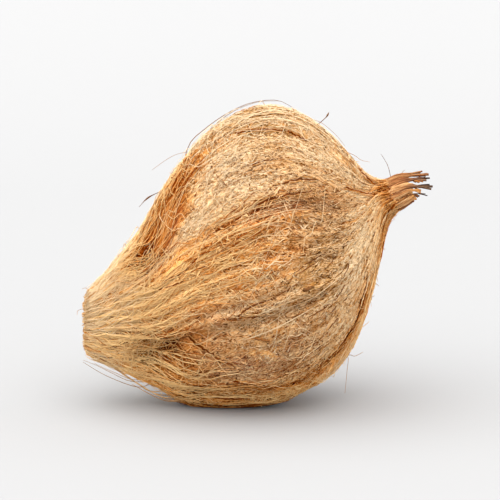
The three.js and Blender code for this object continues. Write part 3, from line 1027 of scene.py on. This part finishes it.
def ridge_strands(name, bundles, per_bundle):
    """Long strands in bundles on the ridges, from the tuft towards the tip."""

    def pick(n):
        crest, half, reach = np.array(STRAND_BANDS)[rng.integers(0, len(STRAND_BANDS), n)].T
        reach = np.interp(reach, PLACES, ARC)
        arc = 8 + (reach - 30) * rng.random(n)
        length = np.minimum(uniform(16, 62, n), reach + uniform(-8, 10, n) - arc)
        return (crest + rng.normal(0, 0.62, n) * half, arc, length, rng.normal(0, 3, n),
                uniform(0.1, 1.0, n), uniform(0.5, 1.6, n), uniform(-0.6, 0.6, n),
                rng.normal(0.0, 0.18, n), rng.normal(0.0, 0.28, n), rng.uniform(0, 6.3, (2, n)))

    angle, arc, length, drift, wave, waves, layer, tone, hue, phases = bundled(bundles, per_bundle, pick)
    count = len(arc)
    arc = arc + uniform(-8, 8, count)
    length = np.clip(length * uniform(0.4, 1.0, count), 8, 156 - arc)
    layer = layer + uniform(-0.3, 0.6, count)
    rust = rng.random(count) < 0.14
    return fibres(
        name, arc, angle + rng.normal(0, 1.4, count), length, 11, 0.1 + 0.22 * rng.random(count) ** 1.8,
        STRAND, drift=drift + rng.normal(0, 2.6, count), wave=wave, waves=waves,
        layer=layer, arch=uniform(0, 0.8, count), loose=uniform(0, 1.4, count),
        tone=tone + DEPTH_SHADE * (layer - MID_LAYER) + rng.normal(0.08, 0.2, count) - RUST_SHADE * rust,
        hue=hue + rng.normal(0.0, 0.15, count) - 0.1 * (layer - MID_LAYER) + 0.5 * rust,
        ash=0.0, phases=phases,
    )


def tuft_fibres(name, bundles, per_bundle):
    """Strands of the tuft: sawn flush at one end, fanning out over the nut."""

    def pick(n):
        arc = np.where(rng.random(n) < 0.65, SAWN_ARC, SAWN_ARC + uniform(0, 32, n))
        return (uniform(0, 360, n), arc, uniform(16, 55, n), rng.normal(0, 11, n), uniform(0.8, 5, n),
                uniform(0.4, 1.5, n), uniform(-0.7, 0.7, n), rng.normal(0.0, 0.17, n),
                rng.normal(0.1, 0.28, n), rng.uniform(0, 6.3, (2, n)))

    angle, arc, length, drift, wave, waves, layer, tone, hue, phases = bundled(bundles, per_bundle, pick)
    count = len(arc)
    layer = layer + uniform(-0.3, 0.6, count)
    rust = rng.random(count) < 0.16
    return fibres(
        name, arc, angle + rng.normal(0, 2.4, count), length * uniform(0.7, 1.1, count), 9,
        (0.12 + 0.26 * rng.random(count) ** 1.7) * (1 - 0.3 * rust), STRAND,
        drift=drift + rng.normal(0, 4.5, count), wave=wave, waves=waves,
        layer=layer, arch=uniform(0, 1.0, count), loose=uniform(0, 1.8, count),
        tone=tone + DEPTH_SHADE * (layer - MID_LAYER) + rng.normal(0.07, 0.2, count) - RUST_SHADE * rust,
        hue=hue + rng.normal(0.0, 0.15, count) - 0.2 * (layer - MID_LAYER) + 0.6 * rust,
        ash=0.0, phases=phases,
    )


def neck_fibres(name, count):
    """Fibres gathered into the neck."""
    arc = uniform(112, 140, count)
    length = np.minimum(uniform(8, 24, count), ARC[-1] - 3 - arc)
    return fibres(
        name, arc, uniform(0, 360, count), length, 8, uniform(0.15, 0.3, count), STRAND,
        drift=rng.normal(0, 6, count), wave=uniform(0.5, 3, count), waves=uniform(0.4, 1.4, count),
        layer=uniform(-0.2, 0.25, count), arch=uniform(0, 0.4, count), loose=uniform(0, 0.5, count),
        tone=rng.normal(0.06, 0.14, count), hue=rng.normal(0.05, 0.2, count), ash=0.0,
    )


def crossing_hairs(name, count):
    """Long thin hairs that have come loose and lie across the rest."""
    arc = 8 + 100 * rng.random(count) ** 2.0
    angle = rng.normal(0, 75, count)
    return fibres(
        name, arc, angle, uniform(6, 30, count), 14, uniform(0.1, 0.18, count), STRAND,
        drift=rng.normal(0, 20, count), wave=uniform(0.5, 5, count), waves=uniform(0.3, 1.4, count),
        layer=uniform(0.6, 1.4, count), arch=uniform(0.2, 1.8, count), loose=uniform(0, 2.0, count),
        tone=rng.normal(0.12, 0.08, count), hue=rng.normal(-0.1, 0.2, count), ash=0.0, flat=1.0,
        bare=0.3,
    )


def tangles(name, count):
    """Curly hairs caught over the hollows behind the tuft."""
    hollow = np.array(HOLLOWS)[rng.integers(0, len(HOLLOWS), count)]
    arc = np.interp(hollow[:, 0], PLACES, ARC) + rng.normal(-2, 9, count)
    return fibres(
        name, arc, hollow[:, 1] + rng.normal(0, 15, count), rng.normal(0, 13, count), 16,
        uniform(0.09, 0.17, count), STRAND, drift=rng.normal(0, 14, count), wave=uniform(2, 9, count),
        waves=uniform(0.3, 1.1, count), layer=uniform(0.8, 2.4, count), arch=uniform(0, 2.6, count),
        loose=0, tone=rng.normal(0.2, 0.08, count), hue=rng.normal(-0.15, 0.15, count), ash=0.0, flat=1.0,
        bare=0.3,
    )


HAIR_SIDE = (0.3, -0.8, 0.5)  # the way that a hair's own section is turned
FLOOR_GAP = 0.15  # kept between a hair's middle and the floor, in mm


def hairs(name, paths, radius, tone, hue, ash, flat_end=False):
    """Round hairs along (count, steps, 3) paths, thinning to the end unless it is flat."""
    count, steps, _ = paths.shape
    u = np.linspace(0, 1, steps)[None]
    taper = 0.1 if flat_end else 0.5
    thick = np.reshape(radius, (count, -1)) * (1 - taper * u**2)
    outward = np.broadcast_to(HAIR_SIDE, paths.shape)
    column = lambda value: np.broadcast_to(value, (count,))[:, None] + 0 * u
    flow = paths + 40 * rng.uniform(-1, 1, (count, 1, 3))
    values = {"tone": column(tone), "hue": column(hue), "ash": column(ash), "flow": flow}
    return tubes(name, paths, outward, thick, 1.0, values, STRAND)


def fuzz(name, count):
    """Short hairs that stand off the husk all over."""
    arc = SAWN_ARC + 0.5 + (150 - SAWN_ARC) * rng.random(count) ** 1.25
    angle = uniform(0, 360, count)
    keep = rng.random(count) < 0.25 + 0.75 * strand_share(place_at(arc), angle)
    arc, angle = arc[keep], angle[keep]
    count = len(arc)
    along = place_at(arc)
    root = husk(along, angle, -0.4)
    out = outward_at(along, angle)
    ahead = unit(surface(np.minimum(along + 0.01, 1), angle, 0.0) - surface(along - 0.01, angle, 0.0))
    side = np.cross(out, ahead)
    heading, stand = uniform(-1.9, 1.9, count), uniform(0.25, 1.1, count)
    length = 1.2 + 3.6 * rng.random(count) ** 2.2
    first = unit(ahead * np.cos(heading)[:, None] + side * np.sin(heading)[:, None] + out * stand[:, None])
    bend = 0.5 * (ahead * rng.normal(0, 0.7, (count, 1)) + side * rng.normal(0, 0.7, (count, 1)) - out * 0.5)
    u = np.linspace(0, 1, 6)[None, :, None]
    paths = root[:, None] + length[:, None, None] * (first[:, None] * u + bend[:, None] * u**2)
    paths[..., 2] = np.maximum(paths[..., 2], FLOOR_GAP)
    return hairs(name, paths, uniform(0.1, 0.18, count), rng.normal(0.72, 0.1, count), 0.4, 0.0)


share = 1.0
felt("felt_front", int(7500 * share), 0, 180)
felt("felt_back", int(6500 * share), 180, 360)
scraps("matted_scraps", int(5500 * share))
flecks("dark_flecks", int(6000 * share))
cheek_hairs("cheek_hairs", int(1200 * share))
ridge_strands("ridge_strands", int(420 * share), 5)
tuft_fibres("tuft_fibres", int(800 * share), 4)
neck_fibres("neck_fibres", int(500 * share))
crossing_hairs("crossing_hairs", int(360 * share))
tangles("tangles", int(260 * share))
fuzz("fuzz", int(2600 * share))


# ---- Hairs that stand clear of the husk ----

VIEW = 500  # units across the square view that hairs and splits are placed in
PIXEL = 0.43  # mm across one unit of the view, at the nut's middle
CAMERA_DISTANCE = 900.0
ELEVATION = math.radians(8)
AIM_X = -3.5
AIM_HEIGHT = 67.1
AIM = np.array([AIM_X - MIDDLE[0], -MIDDLE[1], AIM_HEIGHT / math.cos(ELEVATION)])
BACK = np.array([0, -math.cos(ELEVATION), math.sin(ELEVATION)])
RISE = np.array([0, math.sin(ELEVATION), math.cos(ELEVATION)])
EYE = AIM + BACK * CAMERA_DISTANCE

# Radius, tone, grey, height off the husk and place of a caught scrap of husk along the hair, if any,
# then points across and down the view.
STRAY_HAIRS = [
    (0.20, 0.38, 0.6, 1.6, 0, [
        (176, 160), (190, 143), (206, 128), (226, 114), (250, 103), (276, 100), (292, 107),
    ]),
    (0.15, 0.45, 0.5, 1.0, 0, [(204, 140), (214, 126), (234, 111), (258, 102), (280, 101)]),
    (0.12, 0.5, 0.4, 1.0, 0, [(190, 148), (181, 153), (169, 158), (152, 170)]),
    (0.12, 0.5, 0.3, 1.0, 0, [(300, 112), (318, 121), (334, 133), (345, 146)]),
    (0.17, 0.25, 0.6, 1.0, 0.55, [(161, 186), (149, 197), (139, 207)]),
    (0.20, 0.25, 0.6, 1.0, 0.75, [(317, 123), (322, 121), (327, 116), (329, 112)]),
    (0.13, 0.5, 0.1, 1.0, 0, [(343, 149), (354, 155), (361, 160), (370, 162)]),
    (0.15, 0.2, 0.7, 1.0, 0, [(391, 176), (388, 166), (381, 154)]),
    (0.13, 0.4, 0.5, 0.6, 0, [(400, 176), (402, 173), (405, 170)]),
    (0.16, 0.45, 0.3, 1.0, 0, [(341, 362), (349, 355), (355, 356), (363, 352)]),
    (0.14, 0.45, 0.3, 1.0, 0, [(343, 361), (348, 357), (347, 372), (345, 393)]),
    (0.30, 0.72, 0.35, 1.0, 0, [(186, 404), (170, 400), (154, 393), (138, 384), (122, 374)]),
    (0.34, 0.76, 0.3, 1.0, 0, [(180, 403), (163, 397), (147, 389), (132, 380), (116, 369)]),
    (0.30, 0.70, 0.35, 1.0, 0, [(174, 401), (157, 394), (141, 385), (126, 376), (112, 367)]),
    (0.28, 0.80, 0.3, 1.0, 0, [(165, 398), (150, 391), (136, 382), (120, 371)]),
    (0.26, 0.55, 0.4, 1.0, 0, [(186, 405), (168, 401), (150, 394), (132, 384)]),
    (0.20, 0.42, 0.6, 1.0, 0, [(150, 390), (140, 387), (124, 383), (103, 374), (83, 362)]),
    (0.17, 0.5, 0.5, 1.0, 0, [(148, 389), (130, 381), (112, 373), (98, 366), (83, 360)]),
    (0.15, 0.6, 0.4, 1.0, 0, [(144, 386), (130, 379), (116, 373), (104, 368), (94, 363)]),
    (0.12, 0.5, 0.2, 1.0, 0, [(86, 308), (79, 310), (72, 315)]),
    (0.14, 0.92, 0.0, 1.0, 0, [(216, 303), (209, 330), (205, 358), (202, 388)]),
    (0.13, 0.9, 0.0, 1.0, 0, [(259, 298), (268, 301), (278, 308), (288, 322), (294, 335)]),
    (0.18, 0.92, 0.0, 1.6, 0, [(189, 301), (168, 312), (148, 328), (140, 342), (137, 356)]),
    (0.15, 0.9, 0.0, 1.6, 0, [(176, 300), (160, 316), (152, 334), (149, 350)]),
    (0.15, 0.9, 0.0, 1.8, 0, [(196, 306), (178, 322), (166, 340), (158, 352)]),
    (0.14, 0.9, 0.0, 1.4, 0, [(153, 350), (159, 353), (165, 358), (174, 362)]),
    (0.20, 0.92, 0.0, 1.6, 0, [(157, 209), (160, 217), (165, 224), (172, 230), (176, 228)]),
    (0.14, 0.9, 0.0, 1.6, 0, [(188, 176), (181, 198), (175, 216), (172, 229), (171, 246)]),
    (0.12, 0.92, 0.0, 1.0, 0, [(257, 200), (252, 222), (248, 245)]),
    (0.12, 0.92, 0.0, 1.0, 0, [(262, 221), (269, 226), (276, 233)]),
    (0.14, 0.9, 0.0, 1.4, 0, [(141, 247), (150, 244), (148, 256), (154, 264), (159, 276), (163, 291)]),
    (0.14, 0.9, 0.0, 1.4, 0, [(138, 268), (146, 250), (150, 258), (156, 238), (158, 228)]),
    (0.12, 0.9, 0.0, 1.4, 0, [(132, 270), (141, 262), (150, 258), (149, 250)]),
    (0.12, 0.9, 0.0, 1.2, 0, [(112, 345), (122, 331), (130, 327), (143, 336)]),
    (0.12, 0.55, 0.2, 1.0, 0, [(88, 296), (93, 288), (100, 281), (96, 279)]),
    (0.12, 0.55, 0.2, 1.0, 0, [(90, 292), (86, 288), (82, 289)]),
    (0.12, 0.55, 0.2, 1.0, 0, [(98, 284), (104, 274), (114, 268)]),
]
SCRAP_WIDTH = 2.2  # of a caught scrap, more than its hair's, as a share
SCRAP_LENGTH = 0.13  # as a share of its hair's
# Splits in the husk between raised lips, drawn as a dark fibre that is painted shade: radius, tone, hue and
# grey, then points in the view.
SPLITS = [
    (0.42, 0.16, 0.6, 0.15, [(238, 317), (247, 309), (262, 302), (276, 298)]),
    (0.80, 0.30, 0.4, 0.2, [(255, 338), (262, 339), (270, 341)]),
    (0.75, 0.30, 0.3, 0.3, [(304, 290), (309, 288), (314, 287)]),
    (0.26, 0.18, 0.5, 0.2, [(335, 287), (320, 297), (304, 306)]),
    (0.26, 0.18, 0.5, 0.2, [(330, 304), (320, 311), (309, 317)]),
    (0.26, 0.18, 0.5, 0.2, [(342, 299), (330, 314), (317, 327)]),
    (0.24, 0.22, 0.5, 0.2, [(336, 256), (331, 263), (325, 269)]),
    (0.26, 0.18, 0.5, 0.2, [(326, 252), (310, 262), (296, 272)]),
    (0.26, 0.22, 0.5, 0.2, [(318, 262), (304, 270), (286, 282)]),
    (0.26, 0.18, 0.5, 0.2, [(345, 285), (338, 296), (330, 306)]),
    (0.26, 0.18, 0.5, 0.2, [(338, 318), (326, 332), (312, 343)]),
    (0.26, 0.22, 0.5, 0.2, [(330, 330), (318, 341), (304, 350)]),
    (0.26, 0.18, 0.5, 0.2, [(322, 345), (308, 355), (292, 362)]),
    (0.26, 0.22, 0.5, 0.2, [(300, 282), (284, 292), (268, 300)]),
    (0.24, 0.22, 0.5, 0.2, [(350, 262), (345, 274), (338, 284)]),
    (0.26, 0.18, 0.6, 0.1, [(322, 358), (305, 366), (285, 371)]),
    (0.26, 0.18, 0.6, 0.1, [(318, 364), (300, 371), (282, 376)]),
    (0.46, 0.14, 1.0, 0.0, [(234, 381), (246, 384), (262, 386), (288, 383)]),
    (0.44, 0.22, 1.0, 0.0, [(196, 392), (222, 398), (250, 398)]),
    (0.60, 0.04, 1.0, 0.0, [(368, 276), (364, 292), (360, 306), (354, 322), (346, 337)]),
    (0.45, 0.25, 1.0, 0.0, [(346, 337), (333, 353), (318, 368), (300, 382)]),
    (0.45, 0.2, 1.0, 0.0, [(395, 204), (387, 215), (382, 232)]),
    (0.42, 0.24, 1.0, 0.0, [(358, 167), (366, 176), (376, 184), (387, 186)]),
    (0.34, 0.24, 1.0, 0.0, [(346, 187), (358, 191), (372, 194), (388, 194)]),
    (0.38, 0.24, 0.8, 0.0, [(236, 133), (252, 130), (268, 129), (284, 131)]),
    (0.45, 0.2, 0.8, 0.0, [(288, 131), (298, 136), (307, 141)]),
    (0.40, 0.26, 1.0, 0.0, [(240, 122), (252, 116), (266, 114), (282, 113)]),
    (0.36, 0.18, 0.8, 0.0, [(248, 166), (258, 162), (268, 160), (282, 158)]),
    (0.40, 0.16, 0.8, 0.1, [(284, 183), (300, 179), (318, 180)]),
    (0.40, 0.16, 0.8, 0.1, [(256, 205), (274, 198), (290, 194), (312, 191)]),
    (0.40, 0.2, 1.0, 0.0, [(204, 240), (216, 231), (232, 222), (248, 212)]),
    (0.50, 0.2, 1.0, 0.0, [(186, 270), (196, 259), (208, 251), (226, 244)]),
    (0.36, 0.2, 1.0, 0.0, [(160, 285), (172, 277), (190, 272), (206, 266)]),
    (0.34, 0.2, 1.0, 0.0, [(152, 290), (168, 287), (182, 281), (200, 274)]),
    (0.32, 0.3, 1.0, 0.0, [(232, 246), (252, 236), (272, 226)]),
    (0.50, 0.08, 0.8, 0.0, [(188, 336), (198, 345), (206, 350), (214, 355)]),
    (0.34, 0.2, 0.8, 0.1, [(214, 357), (226, 362), (242, 372)]),
    (0.36, 0.26, 1.0, 0.0, [(170, 212), (178, 196), (190, 176), (204, 158)]),
    (0.36, 0.24, 1.0, 0.0, [(168, 196), (180, 174), (196, 154), (210, 142)]),
    (0.34, 0.22, 1.0, 0.0, [(152, 244), (158, 228), (166, 212)]),
]
SPLIT_LIP = 1.8  # from the middle of a split to its lips, in units of the view
SPLIT_LIPS = [(1, 0.22, 0.72), (-1, 0.22, 0.76)]  # side, radius and tone
LIPPED = (0.3, 0.55)  # radii of the splits that have raised lips
SPLIT_LIFT = 0.6
ROOT_DEPTH = 0.4  # of a stray hair in the husk, in mm
BOX_SPARE = 0.024  # how far hairs may pass the solid's box, as a share of its side


def seen_points(tree, places, lift):
    """Places in the view as points in mm: off the husk by lift, or beside its nearest part."""
    points = []
    for across, down in places:
        target = AIM + np.array([across - VIEW / 2, 0, 0]) * PIXEL + RISE * (VIEW / 2 - down) * PIXEL
        towards = unit(target - EYE)
        hit = tree.ray_cast(Vector(EYE / MM), Vector(towards))[0]
        if hit is None:
            near = tree.find_nearest(Vector(target / MM))[0]
            points.append(EYE + towards * np.dot(np.array(near) * MM - EYE, towards))
        else:
            points.append(np.array(hit) * MM - towards * lift)
    return np.array(points)


def rooted(tree, points):
    """points with the first one moved into the husk."""
    root = np.array(tree.find_nearest(Vector(points[0] / MM))[0]) * MM
    points[0] = root + unit(root - points[0]) * ROOT_DEPTH
    return points


def through(points, steps):
    """A smooth path through points."""
    place = np.linspace(0, len(points) - 1, steps)
    i = np.minimum(place.astype(int), len(points) - 2)
    s = (place - i)[:, None]
    rows = [points[np.clip(i + k, 0, len(points) - 1)] for k in (-1, 0, 1, 2)]
    return (
        rows[1] * (2 * s**3 - 3 * s**2 + 1)
        + (rows[2] - rows[0]) / 2 * (s**3 - 2 * s**2 + s)
        + rows[2] * (3 * s**2 - 2 * s**3)
        + (rows[3] - rows[1]) / 2 * (s**3 - s**2)
    )


husk_tree = BVHTree.FromObject(husk_object, bpy.context.evaluated_depsgraph_get())


def inside_box(points):
    """Points kept on the floor and close to the solid's own box."""
    low, high = (np.array(corner) * MM for corner in cad_bounds)
    spare = BOX_SPARE * (high - low)
    return np.clip(points, np.array([low[0] - spare[0], low[1] - spare[1], FLOOR_GAP]), high + spare)


def cut_ends(name, count):
    """Ends of the sawn fibres, standing a little off the sawn plane."""
    along = place_at(SAWN_ARC)
    angle = uniform(0, 360, count)
    centre = surface(along, np.array([0.0, 180.0]), 0.0).mean(0)
    share = np.sqrt(rng.random(count))[:, None] * 0.97
    start = centre + (surface(along + 0 * angle, angle, 0.0) - centre) * share
    start[:, 0] = SAWN_X - MIDDLE[0] + 0.8
    lean = np.concatenate([np.full((count, 1), -1.0), rng.normal(0, 0.25, (count, 2))], 1)
    u = np.linspace(0, 1, 3)[None, :, None]
    length = uniform(0.9, 2.0, count)[:, None, None]
    return hairs(name, start[:, None] + lean[:, None] * length * u, uniform(0.2, 0.45, count),
                 rng.normal(0.78, 0.12, count), 0.35, 0.1, flat_end=True)


def stray_hairs():
    steps = 18
    radius, tone, ash, lift, scrap = np.array([hair[:5] for hair in STRAY_HAIRS]).T
    paths = [
        through(rooted(husk_tree, seen_points(husk_tree, hair[-1], height)), steps)
        for hair, height in zip(STRAY_HAIRS, lift)
    ]
    from_scrap = np.linspace(0, 1, steps)[None] - scrap[:, None]
    swell = hump(from_scrap, SCRAP_LENGTH) * (scrap[:, None] > 0)
    radius = radius[:, None] * (1 + SCRAP_WIDTH * swell)
    return hairs("stray_hairs", inside_box(np.array(paths)), radius, tone, 0.35, ash)


def splits(name):
    """Splits that lie in the husk's felt: a dark fibre, painted shade of the split, with a pale raised fibre
    on either side.
    """
    paths, looks = [], []
    for radius, tone, hue, ash, places in SPLITS:
        line = through(np.array(places, float), 16)
        ahead = unit(np.gradient(line, axis=0))
        side = np.stack([-ahead[:, 1], ahead[:, 0]], -1) * SPLIT_LIP
        lips = SPLIT_LIPS if LIPPED[0] < radius < LIPPED[1] else []
        for aside, thick, pale in [(0, radius, tone)] + lips:
            wobble = rng.normal(0, 0.5 * radius, (len(line), 1)) * side
            paths.append(seen_points(husk_tree, line + side * aside + wobble, SPLIT_LIFT + radius))
            looks.append((thick, pale, hue, ash * (aside == 0)))
    return hairs(name, np.array(paths), *np.array(looks).T)


stray_hairs()
splits("splits")
cut_ends("cut_ends", 420)


# ---- Woody strips of the tip ----

# Angle round the neck, end point, width, bow, and how grey the end is.
TIP_STRIPS = [
    (20, (72.8, -1.4, 100.6), 2.6, 0.9, 0.5),
    (75, (74.4, -3.0, 95.4), 2.6, 0.5, 1.0),
    (110, (72.4, -1.6, 91.6), 0.9, 0.3, 0.9),
    (340, (70.4, 2.0, 101.4), 2.0, 1.3, 0.3),
    (145, (67.6, -3.0, 90.2), 2.4, -0.3, 0.2),
    (185, (66.4, 0.4, 88.8), 2.6, -0.5, 0.3),
    (225, (69.4, 3.2, 90.6), 2.2, 0.2, 0.6),
    (265, (70.0, 4.4, 94.2), 2.6, 0.6, 0.6),
    (0, (68.8, 0.2, 97.0), 3.2, 0.2, 0.2),
    (50, (73.2, -2.6, 99.0), 2.3, 1.0, 0.9),
    (38, (70.4, -3.6, 97.8), 2.2, 0.8, 0.1),
    (92, (69.4, -3.6, 93.6), 2.4, 0.4, 0.1),
    (62, (67.4, -4.2, 95.8), 2.4, 0.5, 0.0),
    (128, (66.0, -4.0, 91.2), 2.4, 0.0, 0.0),
    (300, (70.6, 3.6, 98.4), 2.4, 0.9, 0.4),
]
STRIP_KNOTS = [(0.88, -1.6), (0.93, 0.3), (0.97, 0.6), (1.0, 0.0)]  # place along the neck, lift
SPLINTERS = 3
SPLINTER_FAN = 9  # degrees round the neck for each mm that a splinter lies to the side
SPLINTER_SPREAD = 1.2  # how much further apart the splinters' ends are than their roots


def husk_point(place, angle, lift):
    return surface(np.array(place), np.array(angle), lift)


def bezier(knots, share):
    """A curve from the first knot to the last, drawn towards the ones between."""
    last = len(knots) - 1
    return sum(
        math.comb(last, j) * share**j * (1 - share) ** (last - j) * knot
        for j, knot in enumerate(knots)
    )


def tip_strips():
    """Woody strips from the neck, each split into splinters that part towards the end."""
    steps = 12
    u = np.linspace(0, 1, steps)
    paths, outs, radii, tones, hues, ashes = [], [], [], [], [], []
    for angle, end, wide, bow, grey in TIP_STRIPS:
        out = unit(husk_point(1.0, angle, 5.0) - husk_point(1.0, angle, -3.0))
        for k in range(SPLINTERS):
            aside = (k - 1) * wide / SPLINTERS + rng.normal(0, 0.1)
            turned = angle + aside * SPLINTER_FAN
            knots = [husk_point(place, turned, lift) for place, lift in STRIP_KNOTS]
            across = unit(np.cross(np.array(end) - knots[0], out))
            tip = np.array(end) - [MIDDLE[0], MIDDLE[1], 0] - across * aside * SPLINTER_SPREAD
            knots.append(tip - unit(tip - knots[-1]) * abs(k - 1) * rng.uniform(0.1, 1.6))
            path = bezier(knots, u[:, None])
            path[:, 2] += bow * np.sin(math.pi * u) + 0.12 * np.sin(u * 15 + turned)
            paths.append(path)
            outs.append(np.broadcast_to(out, path.shape))
            radii.append(wide * 0.29 * rng.uniform(0.75, 1.2) * (1 - 0.25 * u))
            tones.append(0.49 - 0.2 * grey + rng.normal(0, 0.16) - 0.5 * grey * u**2 + 0.08 * u)
            hues.append(np.full(steps, 0.85 + rng.normal(0, 0.2)))
            ashes.append(0.35 + smooth(0.45, 1.0, u) * (0.8 * grey - 0.35))
    points = np.array(paths)
    lanes = np.broadcast_to(np.arange(len(paths))[:, None] * 9.0, points.shape[:2])
    flow = np.stack([lanes, -lanes, points[..., 0] * 0.8], -1)
    values = {"tone": np.array(tones), "hue": np.clip(hues, 0, 1), "ash": np.array(ashes), "flow": flow}
    return tubes("tip_strips", points, np.array(outs), np.array(radii), 0.8, values, WOOD, corners=4)


tip_strips()


# ---- Camera, light and floor ----

SENSOR = 36  # width of the camera's sensor, in mm
LAMP_COLOUR = (1.0, 0.985, 0.965)
# Name, the side that the light comes from, strength, and how wide the lamp looks, in degrees.
LAMPS = [
    ("key", (-0.3, -0.4, 1.0), 2.4, 105),
    ("side", (1.0, 0.1, 0.4), 0.45, 70),
    ("fill", (-0.2, -1.0, 0.65), 1.45, 95),
]
SKY_COLOUR = (0.99, 0.985, 0.975, 1)
SKY_STRENGTH = 1.2
PAPER_COLOUR = (0.42, 0.423, 0.43, 1)
# The paper's sizes in metres: where it starts, where it turns up, the turn's radius, half width.
PAPER_FRONT, PAPER_BEND, PAPER_RADIUS, PAPER_HALF = -6.0, 0.8, 4, 8


def new_camera():
    data = bpy.data.cameras.new("camera")
    data.sensor_width = SENSOR
    data.lens = SENSOR * CAMERA_DISTANCE / (VIEW * PIXEL)
    camera = bpy.data.objects.new("camera", data)
    camera.location = EYE / MM
    camera.rotation_euler = (math.pi / 2 - ELEVATION, 0, 0)
    bpy.context.scene.collection.objects.link(camera)
    bpy.context.scene.camera = camera


def new_lamp(name, direction, strength, spread):
    """A distant lamp, wide enough for soft shadows."""
    data = bpy.data.lights.new(name, "SUN")
    data.energy = strength
    data.color = LAMP_COLOUR
    data.angle = math.radians(spread)
    lamp = bpy.data.objects.new(name, data)
    towards = -Vector(direction).normalized()
    lamp.rotation_euler = towards.to_track_quat("-Z", "Y").to_euler()
    lamp.location = Vector(direction)
    bpy.context.scene.collection.objects.link(lamp)


def paper_material():
    material, tree = new_material("pale_paper")
    looks = {"Base Color": PAPER_COLOUR, "Roughness": 0.9, "Specular IOR Level": 0.1}
    shader = put(tree, "BsdfPrincipled", None, looks)
    tree.links.new(shader.outputs[0], put(tree, "OutputMaterial").inputs[0])
    return material


def sweep():
    """A plain pale floor that curves up into a backdrop."""
    profile = [(PAPER_FRONT, 0.0), (PAPER_BEND, 0.0)]
    for turned in np.linspace(0.03, math.pi / 2, 40):
        up = PAPER_RADIUS - PAPER_RADIUS * math.cos(turned)
        profile.append((PAPER_BEND + PAPER_RADIUS * math.sin(turned), up))
    points = [(x, y, z) for y, z in profile for x in (-PAPER_HALF, PAPER_HALF)]
    faces = [(2 * i, 2 * i + 1, 2 * i + 3, 2 * i + 2) for i in range(len(profile) - 1)]
    mesh = bpy.data.meshes.new("sweep")
    mesh.from_pydata(points, [], faces)
    for polygon in mesh.polygons:
        polygon.use_smooth = True
    mesh.materials.append(paper_material())
    floor = bpy.data.objects.new("sweep", mesh)
    bpy.context.scene.collection.objects.link(floor)


def new_world():
    world = bpy.data.worlds.new("studio")
    bpy.context.scene.world = world
    world.use_nodes = True
    background = world.node_tree.nodes["Background"]
    background.inputs["Color"].default_value = SKY_COLOUR
    background.inputs["Strength"].default_value = SKY_STRENGTH


new_camera()
sweep()
new_world()
for lamp in LAMPS:
    new_lamp(*lamp)
bpy.context.scene.view_settings.view_transform = "Standard"
